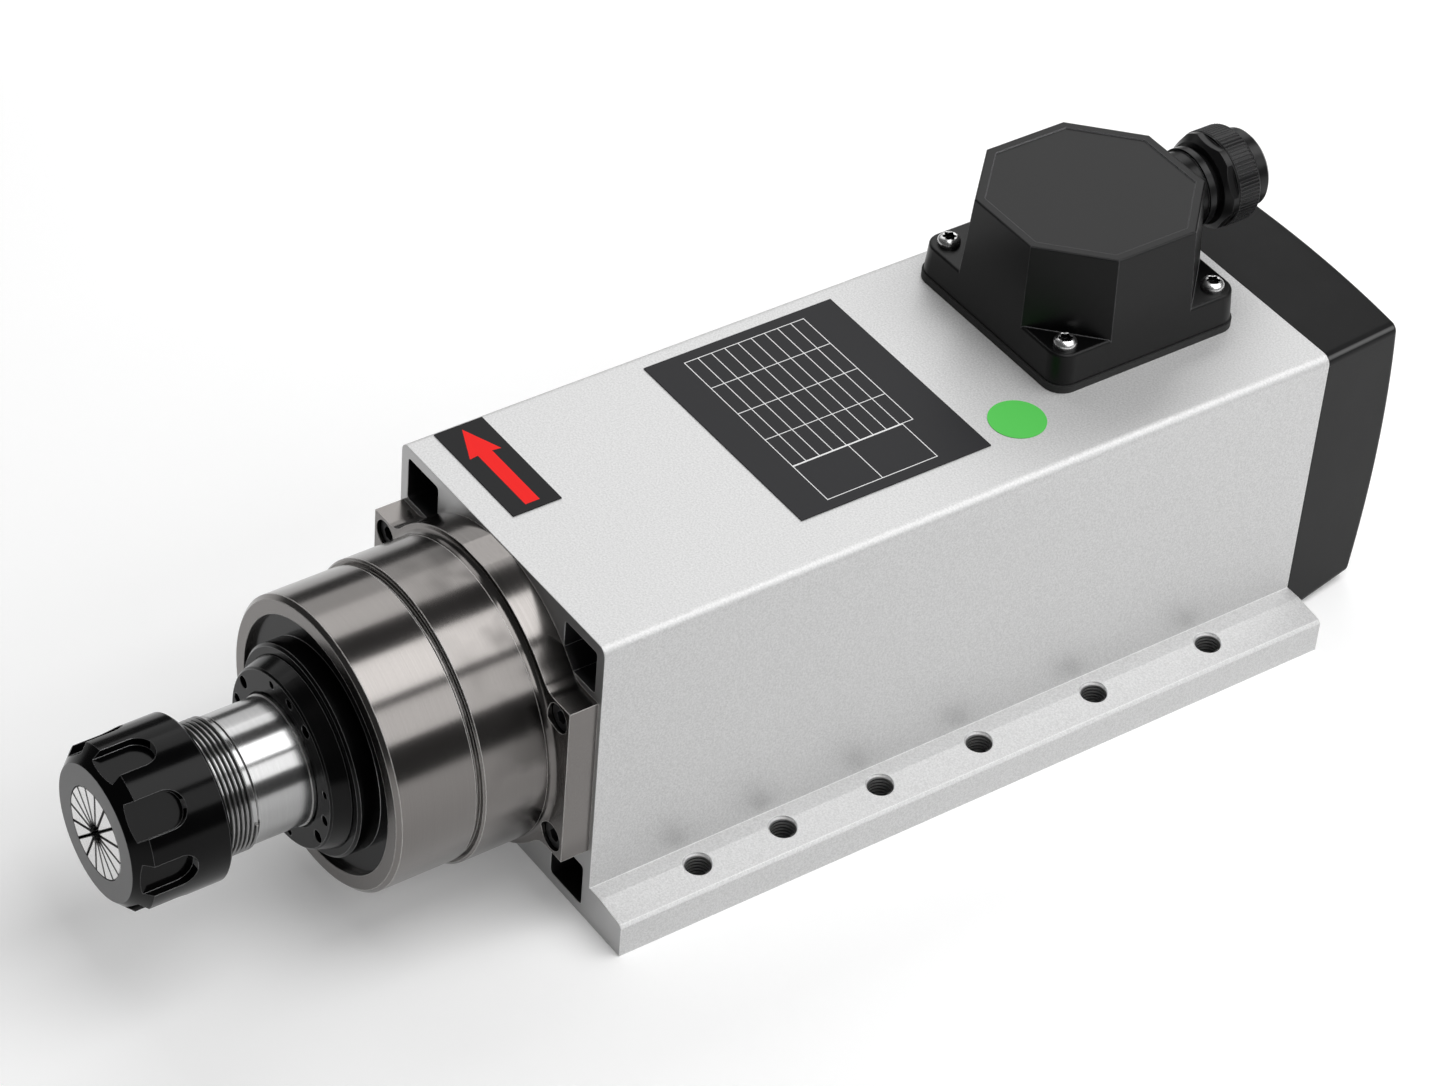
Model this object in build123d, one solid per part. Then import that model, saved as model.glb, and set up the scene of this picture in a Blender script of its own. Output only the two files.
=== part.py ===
from build123d import *
from math import cos, radians, sin, sqrt, tan
import os

# Square motor spindle for a router or mill. All sizes are in millimetres.
# X runs across the motor, Y from the tool end (negative) to the fan end (positive), Z is up.
# The origin is the middle of the face that the feet stand on.

# Fits and clearances
seat_clearance = 0.02          # radial, between pieces pressed or seated together
screw_clearance = 0.05         # radial, round a screw's shank
running_clearance = 0.3        # between pieces that turn or slide past each other
ball_clearance = 0.05          # between a ball and each race

# Housing extrusion
housing_width = 105.0
housing_height = 103.5
housing_length = 260.0
housing_edge_radius = 3.0
spindle_height = 55.0
bore_radius = 44.5
channel_wall = 3.6             # metal outside each corner air channel
channel_corner_radius = 1.2
channel_rib = 3.8              # metal between an air channel and the bore
channel_width = 16.0
channel_height = 15.0

# Feet, one along each side of the extrusion
feet_width = 138.0
foot_root_height = 13.2
foot_edge_height = 11.7
foot_flat_width = 5.5
foot_edge_chamfer = 0.9
foot_hole_radius = 4.0
foot_hole_chamfer = 0.6
foot_hole_inset = 9.0
foot_hole_stations = (32.5, 62.5, 97.5, 134.0, 177.5, 222.0)

# Front bearing housing: a round flange with a lug at each side and a stepped round nose
flange_thickness = 9.5
flange_side_inset = 1.5        # from the housing's sides to the flange's
flange_top_inset = 0.3         # from the housing's top to the flange's
flange_round_inset = 2.5       # from the flange's sides to its round body
lug_half_height = 28.0
lug_corner_radius = 3.0
notch_radius = 8.0
nose_radius = 44.6
nose_length = 60.0
nose_chamfer = 1.3
collar_radius = 46.0
collar_length = 33.0
collar_chamfer = 0.6
collar_root_width = 2.6        # the relieved strip between the collar and the flange
collar_root_depth = 0.4
collar_fillet_radius = 1.8
relief_width = 1.0
relief_depth = 0.7
spigot_length = 6.0
nose_bore_radius = 31.0

# Flange screws, socket head, and the screws of the rear shield
screw_radius = 2.5
screw_head_radius = 4.25
screw_head_height = 5.0
screw_socket_width = 4.0
screw_socket_depth = 2.6
screw_length = 16.0
counterbore_radius = 4.6
counterbore_depth = 6.2
flange_screw_inset = 5.6
flange_screw_rise = 22.5

# Front bearings, a pair of angular contact bearings side by side
front_bearing_bore_radius = 17.5
front_bearing_radius = 36.0
front_bearing_width = 17.0
front_bearing_count = 2
front_ball_radius = 5.5
front_ball_count = 12

# Rear bearing
rear_bearing_bore_radius = 10.0
rear_bearing_radius = 23.5
rear_bearing_width = 14.0
rear_ball_radius = 4.0
rear_ball_count = 8
race_shoulder_share = 0.55     # height of a race's shoulder, as a share of the ball's radius
cage_thickness = 2.0
cage_rim_width = 1.4           # cage metal beside each ball
cage_ball_clearance = 0.15

# Front cap and dust ring
cap_recess_radius = 39.0
cap_recess_depth = 6.0
cap_disc_thickness = 4.0
cap_hub_radius = 32.0
cap_hub_proud = 5.0            # how far the hub stands out of the nose's rim
cap_hub_chamfer = 0.8
dust_sleeve_radius = 24.0
dust_ring_radius = 27.2
dust_ring_flare = 1.8          # how much wider the ring is at its back
dust_ring_proud = 11.0
dust_ring_chamfer = 0.6
dust_pit_depth = 1.5           # the pit in the dust ring's face, round the shaft's collar
dust_hole_circle_radius = 24.2
dust_holes = ((10.0, 1.6), (32.5, 2.0), (77.5, 1.2))   # degrees from the top, and radius
dust_hole_group_count = 4
dust_hole_depth = 3.0

# Spindle shaft
shaft_radius = 19.3
shaft_collar_radius = 19.7
shaft_collar_width = 2.6
shaft_end_chamfer = 1.0
thread_radius = 20.0
thread_depth = 0.92
thread_visible = 11.0          # thread left bare behind the nut when it is tight
thread_shoulder_chamfer = 0.6
thread_end_recess = 6.8        # from the nut's face back to the shaft's end
locknut_radius = 24.0
locknut_width = 8.0
locknut_slot_width = 5.0
locknut_slot_depth = 2.5
locknut_slot_count = 4
locknut_thread_radius = 17.0
rotor_seat_radius = 16.0
rear_shoulder_radius = 13.0
fan_seat_radius = 8.0
fan_seat_length = 25.0
tool_clearance_radius = 10.5
tool_clearance_depth = 30.0

# Collet: a slit double cone
collet_length = 40.0
collet_face_radius = 13.6
collet_groove_radius = 14.0
collet_radius = 16.4
collet_face_cone_length = 3.6
collet_face_cone_rise = 2.0    # radius gained along the cone behind the face
collet_groove_width = 3.0
collet_land_width = 1.6
collet_taper_angle = 8.0
collet_bore_radius = 3.0
collet_slit_width = 0.7
collet_slit_count = 8
collet_bridge = 5.0
collet_face_slit_depth = 12.0
collet_slit_overlap_gap = 5.0
taper_clearance = 0.05

# Collet nut
nut_radius = 25.0
nut_length = 29.0
nut_face_radius = 20.5
nut_face_bevel = 4.8
nut_rear_chamfer = 0.8
nut_slot_count = 8
nut_slot_width = 11.0
nut_slot_depth = 3.0
nut_slot_length = 18.0
nut_slot_corner_radius = 5.2
nut_slot_phase = 1.0           # degrees from the top to the first slot
nut_lip_width = 1.8
nut_mouth_clearance = 0.35
nose_to_nut = 69.5             # from the nose's rim to the nut's face

# Rotor and stator
rotor_radius = 25.6
air_gap = 0.4
stack_length = 130.0
stack_offset = -1.0            # middle of the stack, along Y
end_ring_width = 8.0
end_ring_depth = 7.0
stator_slot_count = 24
stator_slot_width = 3.2
stator_slot_depth = 11.0
stator_tooth_tip = 1.2
slot_liner = 0.2
end_turn_length = 26.0
end_turn_corner = 4.0

# Rear end shield
shield_thickness = 8.0
shield_side_gap = 1.5          # from the shield's arms to the fan cover's wall
shield_hub_radius = 30.0
shield_hub_depth = 16.0
shield_shaft_gap = 0.6
shield_screw_inset = 5.5
shield_floor = 2.5             # metal behind the rear bearing's spring
spring_thickness = 2.2
spring_wall = 0.6
spring_band_width = 4.0
spring_wave_count = 4

# Cooling fan
fan_radius = 37.5
fan_hub_radius = 14.0
fan_disc_thickness = 2.0
fan_width = 16.0
fan_blade_count = 9
fan_blade_thickness = 1.8
fan_blade_root = 1.0           # how far a blade runs into the hub
fan_gap = 4.0                  # from the shield to the fan's disc
circlip_thickness = 1.0
circlip_radius = 10.5
circlip_groove_depth = 0.6
circlip_gap_width = 5.0

# Fan cover
cover_length = 37.5
cover_rear_width = 93.6
cover_rear_height = 97.0
cover_rear_rise = 3.0          # its rear underside above the floor
cover_wall = 2.5
cover_dome_radius = 370.0
cover_edge_radius = 3.0
cover_rear_edge_radius = 1.8
cover_post_radius = 4.2
cover_post_rise = 10.0
cover_screw_radius = 2.0
cover_screw_head_radius = 3.8
cover_screw_head_height = 2.4
cover_screw_sink = 0.4         # how far the heads lie below the cover's rear face
cover_screw_cross_width = 0.9
cover_screw_cross_depth = 1.2
cover_screw_bite = 6.0
grille_hub_radius = 10.0
grille_ring_count = 4
grille_slot_width = 4.2
grille_rib_width = 2.4
grille_spoke_width = 3.0
grille_spoke_count = 6

# Terminal box: a drafted eight-sided tower on a square skirt
box_x = -9.0
box_rear_gap = 14.5            # from the box's skirt to the housing's rear end
box_width = 70.0
box_depth = 69.0
box_corner_radius = 6.0
box_ledge_height = 10.5
box_height = 38.0
box_wall = 3.0
box_top_width = 64.0
box_top_depth = 66.0
box_top_cut = 18.5
box_base_cut = 19.2
box_edge_radius = 0.6
ledge_edge_radius = 0.9
gasket_thickness = 2.5
gasket_overhang = 0.5
panel_inset = 2.9              # from the lid's edge to its sunk panel
panel_depth = 0.35

# Terminal box screws, button head
box_screw_inset = 6.5          # from the skirt's sides
box_screw_radius = 2.0
box_screw_head_radius = 3.6
box_screw_head_height = 2.4
box_screw_dome_share = 0.7     # of the head's height, rounded
box_screw_socket_radius = 1.9
box_screw_socket_depth = 1.5
box_screw_bite = 3.4

# Terminal block and the motor's leads
lead_hole_radius = 10.0
block_width = 46.0
block_depth = 26.0
block_thickness = 8.0
block_foot_height = 5.5
block_foot_width = 7.0
stud_radius = 2.0
stud_height = 9.0
stud_nut_radius = 3.6
stud_nut_height = 2.6
stud_pitch_x = 14.0
stud_pitch_y = 13.0
stud_columns = 3
stud_rows = 2
lead_radius = 1.6
lead_pitch = 5.0
lead_count = 3

# Cable gland on the rear face of the terminal box
gland_drop = 12.8              # from the lid's top down to the gland's axis
gland_boss_radius = 11.7
gland_boss_proud = 4.5         # from the tower's wall to the boss's face
gland_stem_radius = 8.0
gland_stem_reach = 3.0         # how far the stem passes the locknut
gland_flange_radius = 12.4
gland_flange_width = 3.0
gland_flange_chamfer = 0.8
gland_neck_radius = 10.6
gland_neck_length = 12.2
gland_bore_radius = 6.2
gland_seat_radius = 8.8
gland_seal_length = 7.5
gland_seal_proud = 1.0
gland_locknut_radius = 10.5
gland_locknut_width = 3.5
gland_nut_radius = 15.0
gland_nut_gap = 1.8            # bare neck between the flange and the nut
gland_nut_length = 12.7
gland_nut_bevel = 2.0
gland_nut_edge = 0.6
gland_nut_flat_depth = 0.9
gland_nut_sides = 6
gland_nut_front_share = 0.3    # six-sided share of the nut's length
gland_end_radius = 12.4
gland_end_length = 6.0
gland_end_chamfer = 1.2
gland_mouth_radius = 8.0
clamp_ring_radius = 9.4
clamp_ring_nose_radius = 8.2
clamp_ring_length = 5.0
clamp_ring_band = 2.0          # plain end of the ring, that its slits leave whole
clamp_ring_slit_width = 1.0
clamp_ring_slit_count = 8

# Plates and labels on the housing's top face
plate_thickness = 0.4
rating_plate_width = 80.0
rating_plate_length = 67.5
rating_plate_x = -5.5
rating_plate_station = 112.3
direction_label_width = 42.0
direction_label_length = 16.3
direction_label_x = -29.0
direction_label_station = 17.2
sticker_radius = 8.8
sticker_x = 28.6
sticker_station = 160.1
sticker_thickness = 0.2

# Places worked out from the sizes above
front_y = -housing_length / 2
rear_y = housing_length / 2
rim_y = front_y - nose_length
nut_face_y = rim_y - nose_to_nut
nut_rear_y = nut_face_y + nut_length
recess_y = rim_y + cap_recess_depth
bearing_end_y = recess_y + front_bearing_count * front_bearing_width
shaft_front_y = nut_face_y + thread_end_recess
thread_end_y = nut_rear_y + thread_visible
dust_face_y = rim_y - dust_ring_proud
locknut_end_y = bearing_end_y + locknut_width
stack_front_y = stack_offset - stack_length / 2
stack_rear_y = stack_offset + stack_length / 2
shield_y = rear_y + shield_thickness
rear_bearing_end_y = shield_y - shield_floor - spring_thickness
rear_bearing_y = rear_bearing_end_y - rear_bearing_width
fan_y = shield_y + fan_gap
fan_end_y = fan_y + fan_width
shaft_rear_y = shield_y + fan_seat_length
cover_end_y = rear_y + cover_length
flange_half_width = housing_width / 2 - flange_side_inset
flange_half_height = housing_height - spindle_height - flange_top_inset
flange_screw_x = flange_half_width - flange_screw_inset
shield_half_width = housing_width / 2 - cover_wall - shield_side_gap
shield_half_height = min(housing_height - spindle_height, spindle_height) - cover_wall - shield_side_gap
shield_screw_x = shield_half_width - shield_screw_inset
cover_post_x = cover_rear_width / 2 - cover_post_radius
box_y = rear_y - box_rear_gap - box_depth / 2
box_screw_x = box_width / 2 - box_screw_inset
box_screw_y = box_depth / 2 - box_screw_inset
box_base_z = housing_height + gasket_thickness
box_top_z = box_base_z + box_height
ledge_z = box_base_z + box_ledge_height
cut_corner_share = 2 - sqrt(2)  # how much a corner's cut shrinks for each unit of inset
spindle_axis = Axis((0, 0, spindle_height), (0, 1, 0))
side_signs = (-1, 1)
on_floor = (Align.CENTER, Align.CENTER, Align.MIN)


def tower_half_depth(z):
    """From the terminal box's middle to its tower's rear wall, at a height."""
    share = (z - box_base_z) / box_height
    return (box_depth + share * (box_top_depth - box_depth)) / 2


gland_z = box_top_z - gland_drop
gland_face_y = box_y + tower_half_depth(gland_z) + gland_boss_proud
gland_seat_y = box_y - box_wall + min(
    tower_half_depth(gland_z - gland_boss_radius), tower_half_depth(gland_z + gland_boss_radius))
gland_nut_y = gland_face_y + gland_flange_width + gland_nut_gap
gland_body_end_y = gland_face_y + gland_flange_width + gland_neck_length


def bar(section, y_from, y_to):
    """A straight solid along Y from a section drawn in X and Z."""
    plane = Plane(origin=(0, y_to, 0), x_dir=(1, 0, 0), z_dir=(0, -1, 0))
    return extrude(plane * section, amount=y_to - y_from)


def round_bar(x, z, radius, y_from, y_to):
    return bar(Pos(x, z) * Circle(radius), y_from, y_to)


def turned(points, x=0.0, z=spindle_height):
    """A turned solid about an axis along Y, from corners given as (y, radius)."""
    plane = Plane(origin=(x, 0, z), x_dir=(0, 1, 0), z_dir=(1, 0, 0))
    profile = plane * make_face(Polyline(*points, close=True))
    return revolve(profile, axis=Axis((x, 0, z), (0, 1, 0)))


def ring(y_from, y_to, inner, outer):
    return turned([(y_from, inner), (y_from, outer), (y_to, outer), (y_to, inner)])


def around_spindle(shape, count, start=0.0):
    """Copies of a shape turned evenly about the spindle's axis."""
    step = 360.0 / count
    return [shape.rotate(spindle_axis, start + step * index) for index in range(count)]


def upright(section, z_from, z_to):
    return extrude(Plane.XY.offset(z_from) * section, amount=z_to - z_from)


def cut_corner_rectangle(width, depth, cut):
    x = width / 2
    y = depth / 2
    corners = [(x, y - cut), (x - cut, y), (cut - x, y), (-x, y - cut),
               (-x, cut - y), (cut - x, -y), (x - cut, -y), (x, cut - y)]
    return make_face(Polyline(*corners, close=True))


def lugged_outline(half_width, half_height):
    """A flange's outline in X and Z: a disc with a lug at each side, blended by hollow curves."""
    disc = Circle(half_width - flange_round_inset) & Rectangle(2 * half_width, 2 * half_height)
    outline = disc + Rectangle(2 * half_width, 2 * lug_half_height)
    ends = outline.vertices().group_by(lambda v: round(abs(abs(v.Y) - lug_half_height), 3))[0]
    notches, lug_corners = ends.group_by(lambda v: round(abs(v.X), 3))
    outline = fillet(lug_corners, lug_corner_radius)
    return Pos(0, spindle_height) * fillet(notches, notch_radius)


def flange_screw_places(x):
    return [(side * x, spindle_height + rise * flange_screw_rise)
            for side in side_signs for rise in side_signs]


def socket_screw(x, z, head_y, direction):
    """A socket-head screw along Y. Direction is +1 where the shank points towards the fan."""
    under_head = head_y + direction * screw_head_height
    tip = under_head + direction * screw_length
    head = round_bar(x, z, screw_head_radius, min(head_y, under_head), max(head_y, under_head))
    shank = round_bar(x, z, screw_radius, min(under_head, tip), max(under_head, tip))
    socket_floor = head_y + direction * screw_socket_depth
    hexagon = Pos(x, z) * RegularPolygon(screw_socket_width / 2, 6, major_radius=False)
    socket = bar(hexagon, min(head_y, socket_floor), max(head_y, socket_floor))
    return head + shank - socket


def motor_housing():
    half = housing_width / 2
    foot = feet_width / 2
    right_side = [(0, 0), (foot, 0), (foot, foot_edge_height - foot_edge_chamfer),
                  (foot - foot_edge_chamfer, foot_edge_height),
                  (half + foot_flat_width, foot_root_height), (half, foot_root_height),
                  (half, housing_height), (0, housing_height)]
    right_face = make_face(Polyline(*right_side, close=True))
    section = right_face + mirror(right_face, Plane.YZ)
    top_corners = section.vertices().group_by(Axis.Y)[-1].group_by(lambda v: round(abs(v.X), 3))[-1]
    section = fillet(top_corners, housing_edge_radius)
    bore = Pos(0, spindle_height) * Circle(bore_radius)
    rib = Pos(0, spindle_height) * Circle(bore_radius + channel_rib)
    channel_x = half - channel_wall - channel_width / 2
    channel_z = channel_wall + channel_height / 2
    for side in side_signs:
        for z in (channel_z, housing_height - channel_z):
            channel = Pos(side * channel_x, z) * Rectangle(channel_width, channel_height)
            channel = fillet(channel.vertices(), channel_corner_radius)
            section -= channel - rib
    body = bar(section - bore, front_y, rear_y)
    for station in foot_hole_stations:
        for side in side_signs:
            hole_place = Pos(side * (foot - foot_hole_inset), front_y + station)
            body -= upright(hole_place * Circle(foot_hole_radius), 0, foot_root_height)
            body -= foot_hole_mouth(hole_place)
    for x, z in flange_screw_places(flange_screw_x):
        hole_depth = screw_length + screw_head_height
        body -= round_bar(x, z, screw_radius + screw_clearance, front_y, front_y + hole_depth)
    for x, z in flange_screw_places(shield_screw_x):
        body -= round_bar(x, z, screw_radius + screw_clearance, rear_y - screw_length, rear_y)
    body -= upright(Pos(box_x, box_y) * Circle(lead_hole_radius), spindle_height, housing_height)
    for place in box_screw_places():
        hole = place * Circle(box_screw_radius + screw_clearance)
        body -= upright(hole, housing_height - box_screw_bite, housing_height)
    return body


def foot_hole_mouth(hole_place):
    """The bevel at a foot hole's mouth, deep enough for the sloping top of the foot."""
    mouth_radius = foot_hole_radius + foot_hole_chamfer
    half = housing_width / 2
    slope = (foot_root_height - foot_edge_height) / (feet_width / 2 - half - foot_flat_width)
    inner_edge = feet_width / 2 - half - foot_flat_width - foot_hole_inset
    top_z = foot_edge_height + slope * (foot_hole_inset + min(inner_edge, 0.0))
    cone = Cone(foot_hole_radius, mouth_radius, foot_hole_chamfer, align=on_floor)
    pit = Cylinder(mouth_radius, foot_root_height, align=on_floor)
    return hole_place * (Pos(0, 0, top_z - foot_hole_chamfer) * cone + Pos(0, 0, top_z) * pit)


def front_bearing_housing():
    flange_y = front_y - flange_thickness
    step_y = front_y - collar_length
    root_y = flange_y - collar_root_width
    root_r = collar_radius - collar_root_depth
    blend_r = root_r + collar_fillet_radius
    blend_y = flange_y - collar_fillet_radius
    relief_r = nose_radius - relief_depth
    relief_end_y = step_y - relief_width
    body = bar(lugged_outline(flange_half_width, flange_half_height), flange_y, front_y)
    body += turned([
        (flange_y, 0), (flange_y, root_r), (root_y, root_r), (root_y, collar_radius),
        (step_y + collar_chamfer, collar_radius),
        (step_y, collar_radius - collar_chamfer), (step_y, relief_r), (relief_end_y, relief_r),
        (relief_end_y - relief_depth, nose_radius), (rim_y + nose_chamfer, nose_radius),
        (rim_y, nose_radius - nose_chamfer), (rim_y, 0)])
    hollow = Pos(0, blend_y, spindle_height) * Rot(90, 0, 0) * Torus(blend_r, collar_fillet_radius)
    body += ring(blend_y, flange_y, root_r, blend_r) - hollow
    body += ring(front_y, front_y + spigot_length, nose_bore_radius, bore_radius - seat_clearance)
    body -= turned([
        (front_y + spigot_length, 0), (front_y + spigot_length, nose_bore_radius),
        (bearing_end_y, nose_bore_radius), (bearing_end_y, front_bearing_radius + seat_clearance),
        (recess_y, front_bearing_radius + seat_clearance), (recess_y, cap_recess_radius),
        (rim_y, cap_recess_radius), (rim_y, 0)])
    for x, z in flange_screw_places(flange_screw_x):
        body -= round_bar(x, z, screw_radius + screw_clearance, flange_y, front_y)
        body -= round_bar(x, z, counterbore_radius, root_y, flange_y + counterbore_depth)
    return body


def flange_screws():
    head_y = front_y - flange_thickness + counterbore_depth - screw_head_height
    return [socket_screw(x, z, head_y, 1) for x, z in flange_screw_places(flange_screw_x)]


def races(y_from, width, bore, outside, ball_radius):
    """The inner and the outer race of one bearing, each with its ball groove."""
    pitch = (bore + outside) / 2
    middle = y_from + width / 2
    shoulder = ball_radius * race_shoulder_share
    torus = Pos(0, middle, spindle_height) * Rot(90, 0, 0) * Torus(pitch, ball_radius + ball_clearance)
    inner_race = ring(y_from, y_from + width, bore, pitch - shoulder) - torus
    outer_race = ring(y_from, y_from + width, pitch + shoulder, outside) - torus
    return inner_race, outer_race


def ball_set(y_from, width, bore, outside, ball_radius, count):
    """The balls of one bearing and the cage that spaces them."""
    pitch = (bore + outside) / 2
    middle = y_from + width / 2
    first = Pos(0, middle, spindle_height + pitch) * Sphere(ball_radius)
    balls = around_spindle(first, count)
    half = cage_thickness / 2
    reach = ball_radius + cage_ball_clearance + cage_rim_width
    cage = ring(middle - reach, middle + reach, pitch - half, pitch + half)
    pocket = Pos(0, middle, spindle_height + pitch) * Sphere(ball_radius + cage_ball_clearance)
    for copy in around_spindle(pocket, count):
        cage -= copy
    return balls, cage


def front_bearings():
    """Lists of inner races, outer races, balls and cages of the front pair."""
    inner, outer, balls, cages = [], [], [], []
    for index in range(front_bearing_count):
        y = recess_y + index * front_bearing_width
        size = (front_bearing_bore_radius, front_bearing_radius)
        inner_race, outer_race = races(y, front_bearing_width, *size, front_ball_radius)
        row, cage = ball_set(y, front_bearing_width, *size, front_ball_radius, front_ball_count)
        inner.append(inner_race)
        outer.append(outer_race)
        balls += row
        cages.append(cage)
    return inner, outer, balls, cages


def front_bearing_cap():
    disc_y = recess_y - cap_disc_thickness
    hub_y = rim_y - cap_hub_proud
    hole = dust_sleeve_radius + running_clearance
    outer = cap_recess_radius - screw_clearance
    return turned([
        (recess_y, hole), (recess_y, outer), (disc_y, outer), (disc_y, cap_hub_radius),
        (hub_y + cap_hub_chamfer, cap_hub_radius), (hub_y, cap_hub_radius - cap_hub_chamfer),
        (hub_y, hole)])


def dust_ring():
    """The turning ring in front of the cap, with its pin-spanner holes."""
    back_y = rim_y - cap_hub_proud - running_clearance
    bore = front_bearing_bore_radius + seat_clearance
    pit = shaft_collar_radius + 2 * running_clearance
    body = turned([
        (recess_y, bore), (recess_y, dust_sleeve_radius), (back_y, dust_sleeve_radius),
        (back_y, dust_ring_radius + dust_ring_flare), (dust_face_y + dust_ring_chamfer, dust_ring_radius),
        (dust_face_y, dust_ring_radius - dust_ring_chamfer), (dust_face_y, pit),
        (dust_face_y + dust_pit_depth, pit), (dust_face_y + dust_pit_depth, bore)])
    for angle, radius in dust_holes:
        hole = round_bar(0, spindle_height + dust_hole_circle_radius, radius,
                         dust_face_y, dust_face_y + dust_hole_depth)
        for copy in around_spindle(hole, dust_hole_group_count, angle):
            body -= copy
    return body


def collet_profile(clearance=0.0):
    """Corners of the collet's outside, as (y, radius), from its face to its tail."""
    face = nut_face_y
    groove = face + collet_face_cone_length
    land = groove + collet_groove_width
    taper = land + collet_land_width
    tail = face + collet_length
    tail_radius = collet_radius - (tail - taper) * tan(radians(collet_taper_angle))
    cone_radius = collet_face_radius + collet_face_cone_rise
    return [(face, collet_face_radius), (groove, cone_radius + clearance),
            (groove, collet_groove_radius + clearance), (land, collet_groove_radius + clearance),
            (land, collet_radius + clearance), (taper, collet_radius + clearance),
            (tail, tail_radius + clearance)]


def spindle_shaft():
    minor = thread_radius - thread_depth
    collar_front = dust_face_y + dust_pit_depth - shaft_collar_width
    collar_rear = dust_face_y + dust_pit_depth
    shoulder_y = rear_bearing_y
    groove_y = fan_end_y
    groove_radius = fan_seat_radius - circlip_groove_depth
    body = turned([
        (shaft_front_y, 0), (shaft_front_y, minor - shaft_end_chamfer),
        (shaft_front_y + shaft_end_chamfer, minor), (thread_end_y, minor),
        (thread_end_y, shaft_radius - thread_shoulder_chamfer),
        (thread_end_y + thread_shoulder_chamfer, shaft_radius),
        (collar_front, shaft_radius), (collar_front, shaft_collar_radius),
        (collar_rear, shaft_collar_radius), (collar_rear, front_bearing_bore_radius),
        (bearing_end_y, front_bearing_bore_radius), (bearing_end_y, locknut_thread_radius),
        (locknut_end_y, locknut_thread_radius), (locknut_end_y, rotor_seat_radius),
        (stack_rear_y + end_ring_width, rotor_seat_radius),
        (stack_rear_y + end_ring_width, rear_shoulder_radius),
        (shoulder_y, rear_shoulder_radius), (shoulder_y, rear_bearing_bore_radius),
        (shield_y, rear_bearing_bore_radius), (shield_y, fan_seat_radius),
        (groove_y, fan_seat_radius), (groove_y, groove_radius),
        (groove_y + circlip_thickness, groove_radius),
        (groove_y + circlip_thickness, fan_seat_radius), (shaft_rear_y, fan_seat_radius),
        (shaft_rear_y, 0)])
    corners = collet_profile(taper_clearance)
    land_y, land_radius = corners[-2]
    tail_y, tail_radius = corners[-1]
    slope = tan(radians(collet_taper_angle))
    mouth_radius = land_radius + (land_y - shaft_front_y) * slope
    socket = turned([
        (shaft_front_y, 0), (shaft_front_y, mouth_radius), (tail_y, tail_radius),
        (tail_y, tool_clearance_radius), (tail_y + tool_clearance_depth, tool_clearance_radius),
        (tail_y + tool_clearance_depth, 0)])
    return body - socket


def collet():
    body = turned([(nut_face_y, 0)] + collet_profile() + [(nut_face_y + collet_length, 0)])
    body -= round_bar(0, spindle_height, collet_bore_radius, nut_face_y, nut_face_y + collet_length)
    reach = collet_radius + taper_clearance
    slit_sketch = Pos(0, spindle_height + reach / 2) * Rectangle(collet_slit_width, reach)
    tail_y = nut_face_y + collet_length
    long_slit = bar(slit_sketch, nut_face_y, tail_y - collet_bridge)
    face_slit = bar(slit_sketch, nut_face_y, nut_face_y + collet_face_slit_depth)
    tail_start = nut_face_y + collet_face_slit_depth + collet_slit_overlap_gap
    tail_slit = bar(slit_sketch, tail_start, tail_y)
    half_step = 180.0 / collet_slit_count
    for slit in around_spindle(long_slit, collet_slit_count):
        body -= slit
    for slit in around_spindle(face_slit + tail_slit, collet_slit_count, half_step):
        body -= slit
    return body


def collet_nut():
    corners = collet_profile()
    groove_y, cone_radius = corners[1]
    land_y = corners[3][0]
    gap = nut_mouth_clearance
    lip_radius = collet_groove_radius + gap
    lip_front = groove_y + (collet_groove_width - nut_lip_width) / 2
    lip_rear = lip_front + nut_lip_width
    inside = thread_radius + running_clearance
    shoulder_y = land_y + collet_land_width / 2
    face = nut_face_y
    body = turned([
        (face, collet_face_radius + gap), (face, nut_face_radius), (face + nut_face_bevel, nut_radius),
        (nut_rear_y - nut_rear_chamfer, nut_radius), (nut_rear_y, nut_radius - nut_rear_chamfer),
        (nut_rear_y, inside), (shaft_front_y - running_clearance, inside),
        (shaft_front_y - running_clearance, collet_radius + gap), (lip_rear, collet_radius + gap),
        (lip_rear, lip_radius), (lip_front, lip_radius), (lip_front, cone_radius + gap),
        (groove_y, cone_radius + gap)])
    slot = Rectangle(nut_slot_width, nut_slot_length)
    slot = fillet(slot.vertices().group_by(Axis.Y)[-1], nut_slot_corner_radius)
    floor_z = spindle_height + nut_radius - nut_slot_depth
    cutter = upright(Pos(0, face + nut_slot_length / 2) * slot, floor_z, floor_z + 2 * nut_slot_depth)
    for copy in around_spindle(cutter, nut_slot_count, nut_slot_phase):
        body -= copy
    return body


def bearing_locknut():
    body = ring(bearing_end_y, locknut_end_y, locknut_thread_radius + seat_clearance, locknut_radius)
    slot_sketch = Rectangle(locknut_slot_width, 2 * locknut_slot_depth)
    slot = bar(Pos(0, spindle_height + locknut_radius) * slot_sketch, bearing_end_y, locknut_end_y)
    for copy in around_spindle(slot, locknut_slot_count):
        body -= copy
    return body


def rotor_core():
    return ring(stack_front_y, stack_rear_y, rotor_seat_radius + seat_clearance, rotor_radius)


def rotor_end_rings():
    inner = rotor_radius - end_ring_depth
    outer = rotor_radius - running_clearance
    front_ring = ring(stack_front_y - end_ring_width, stack_front_y, inner, outer)
    rear_ring = ring(stack_rear_y, stack_rear_y + end_ring_width, inner, outer)
    return [front_ring, rear_ring]


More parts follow.
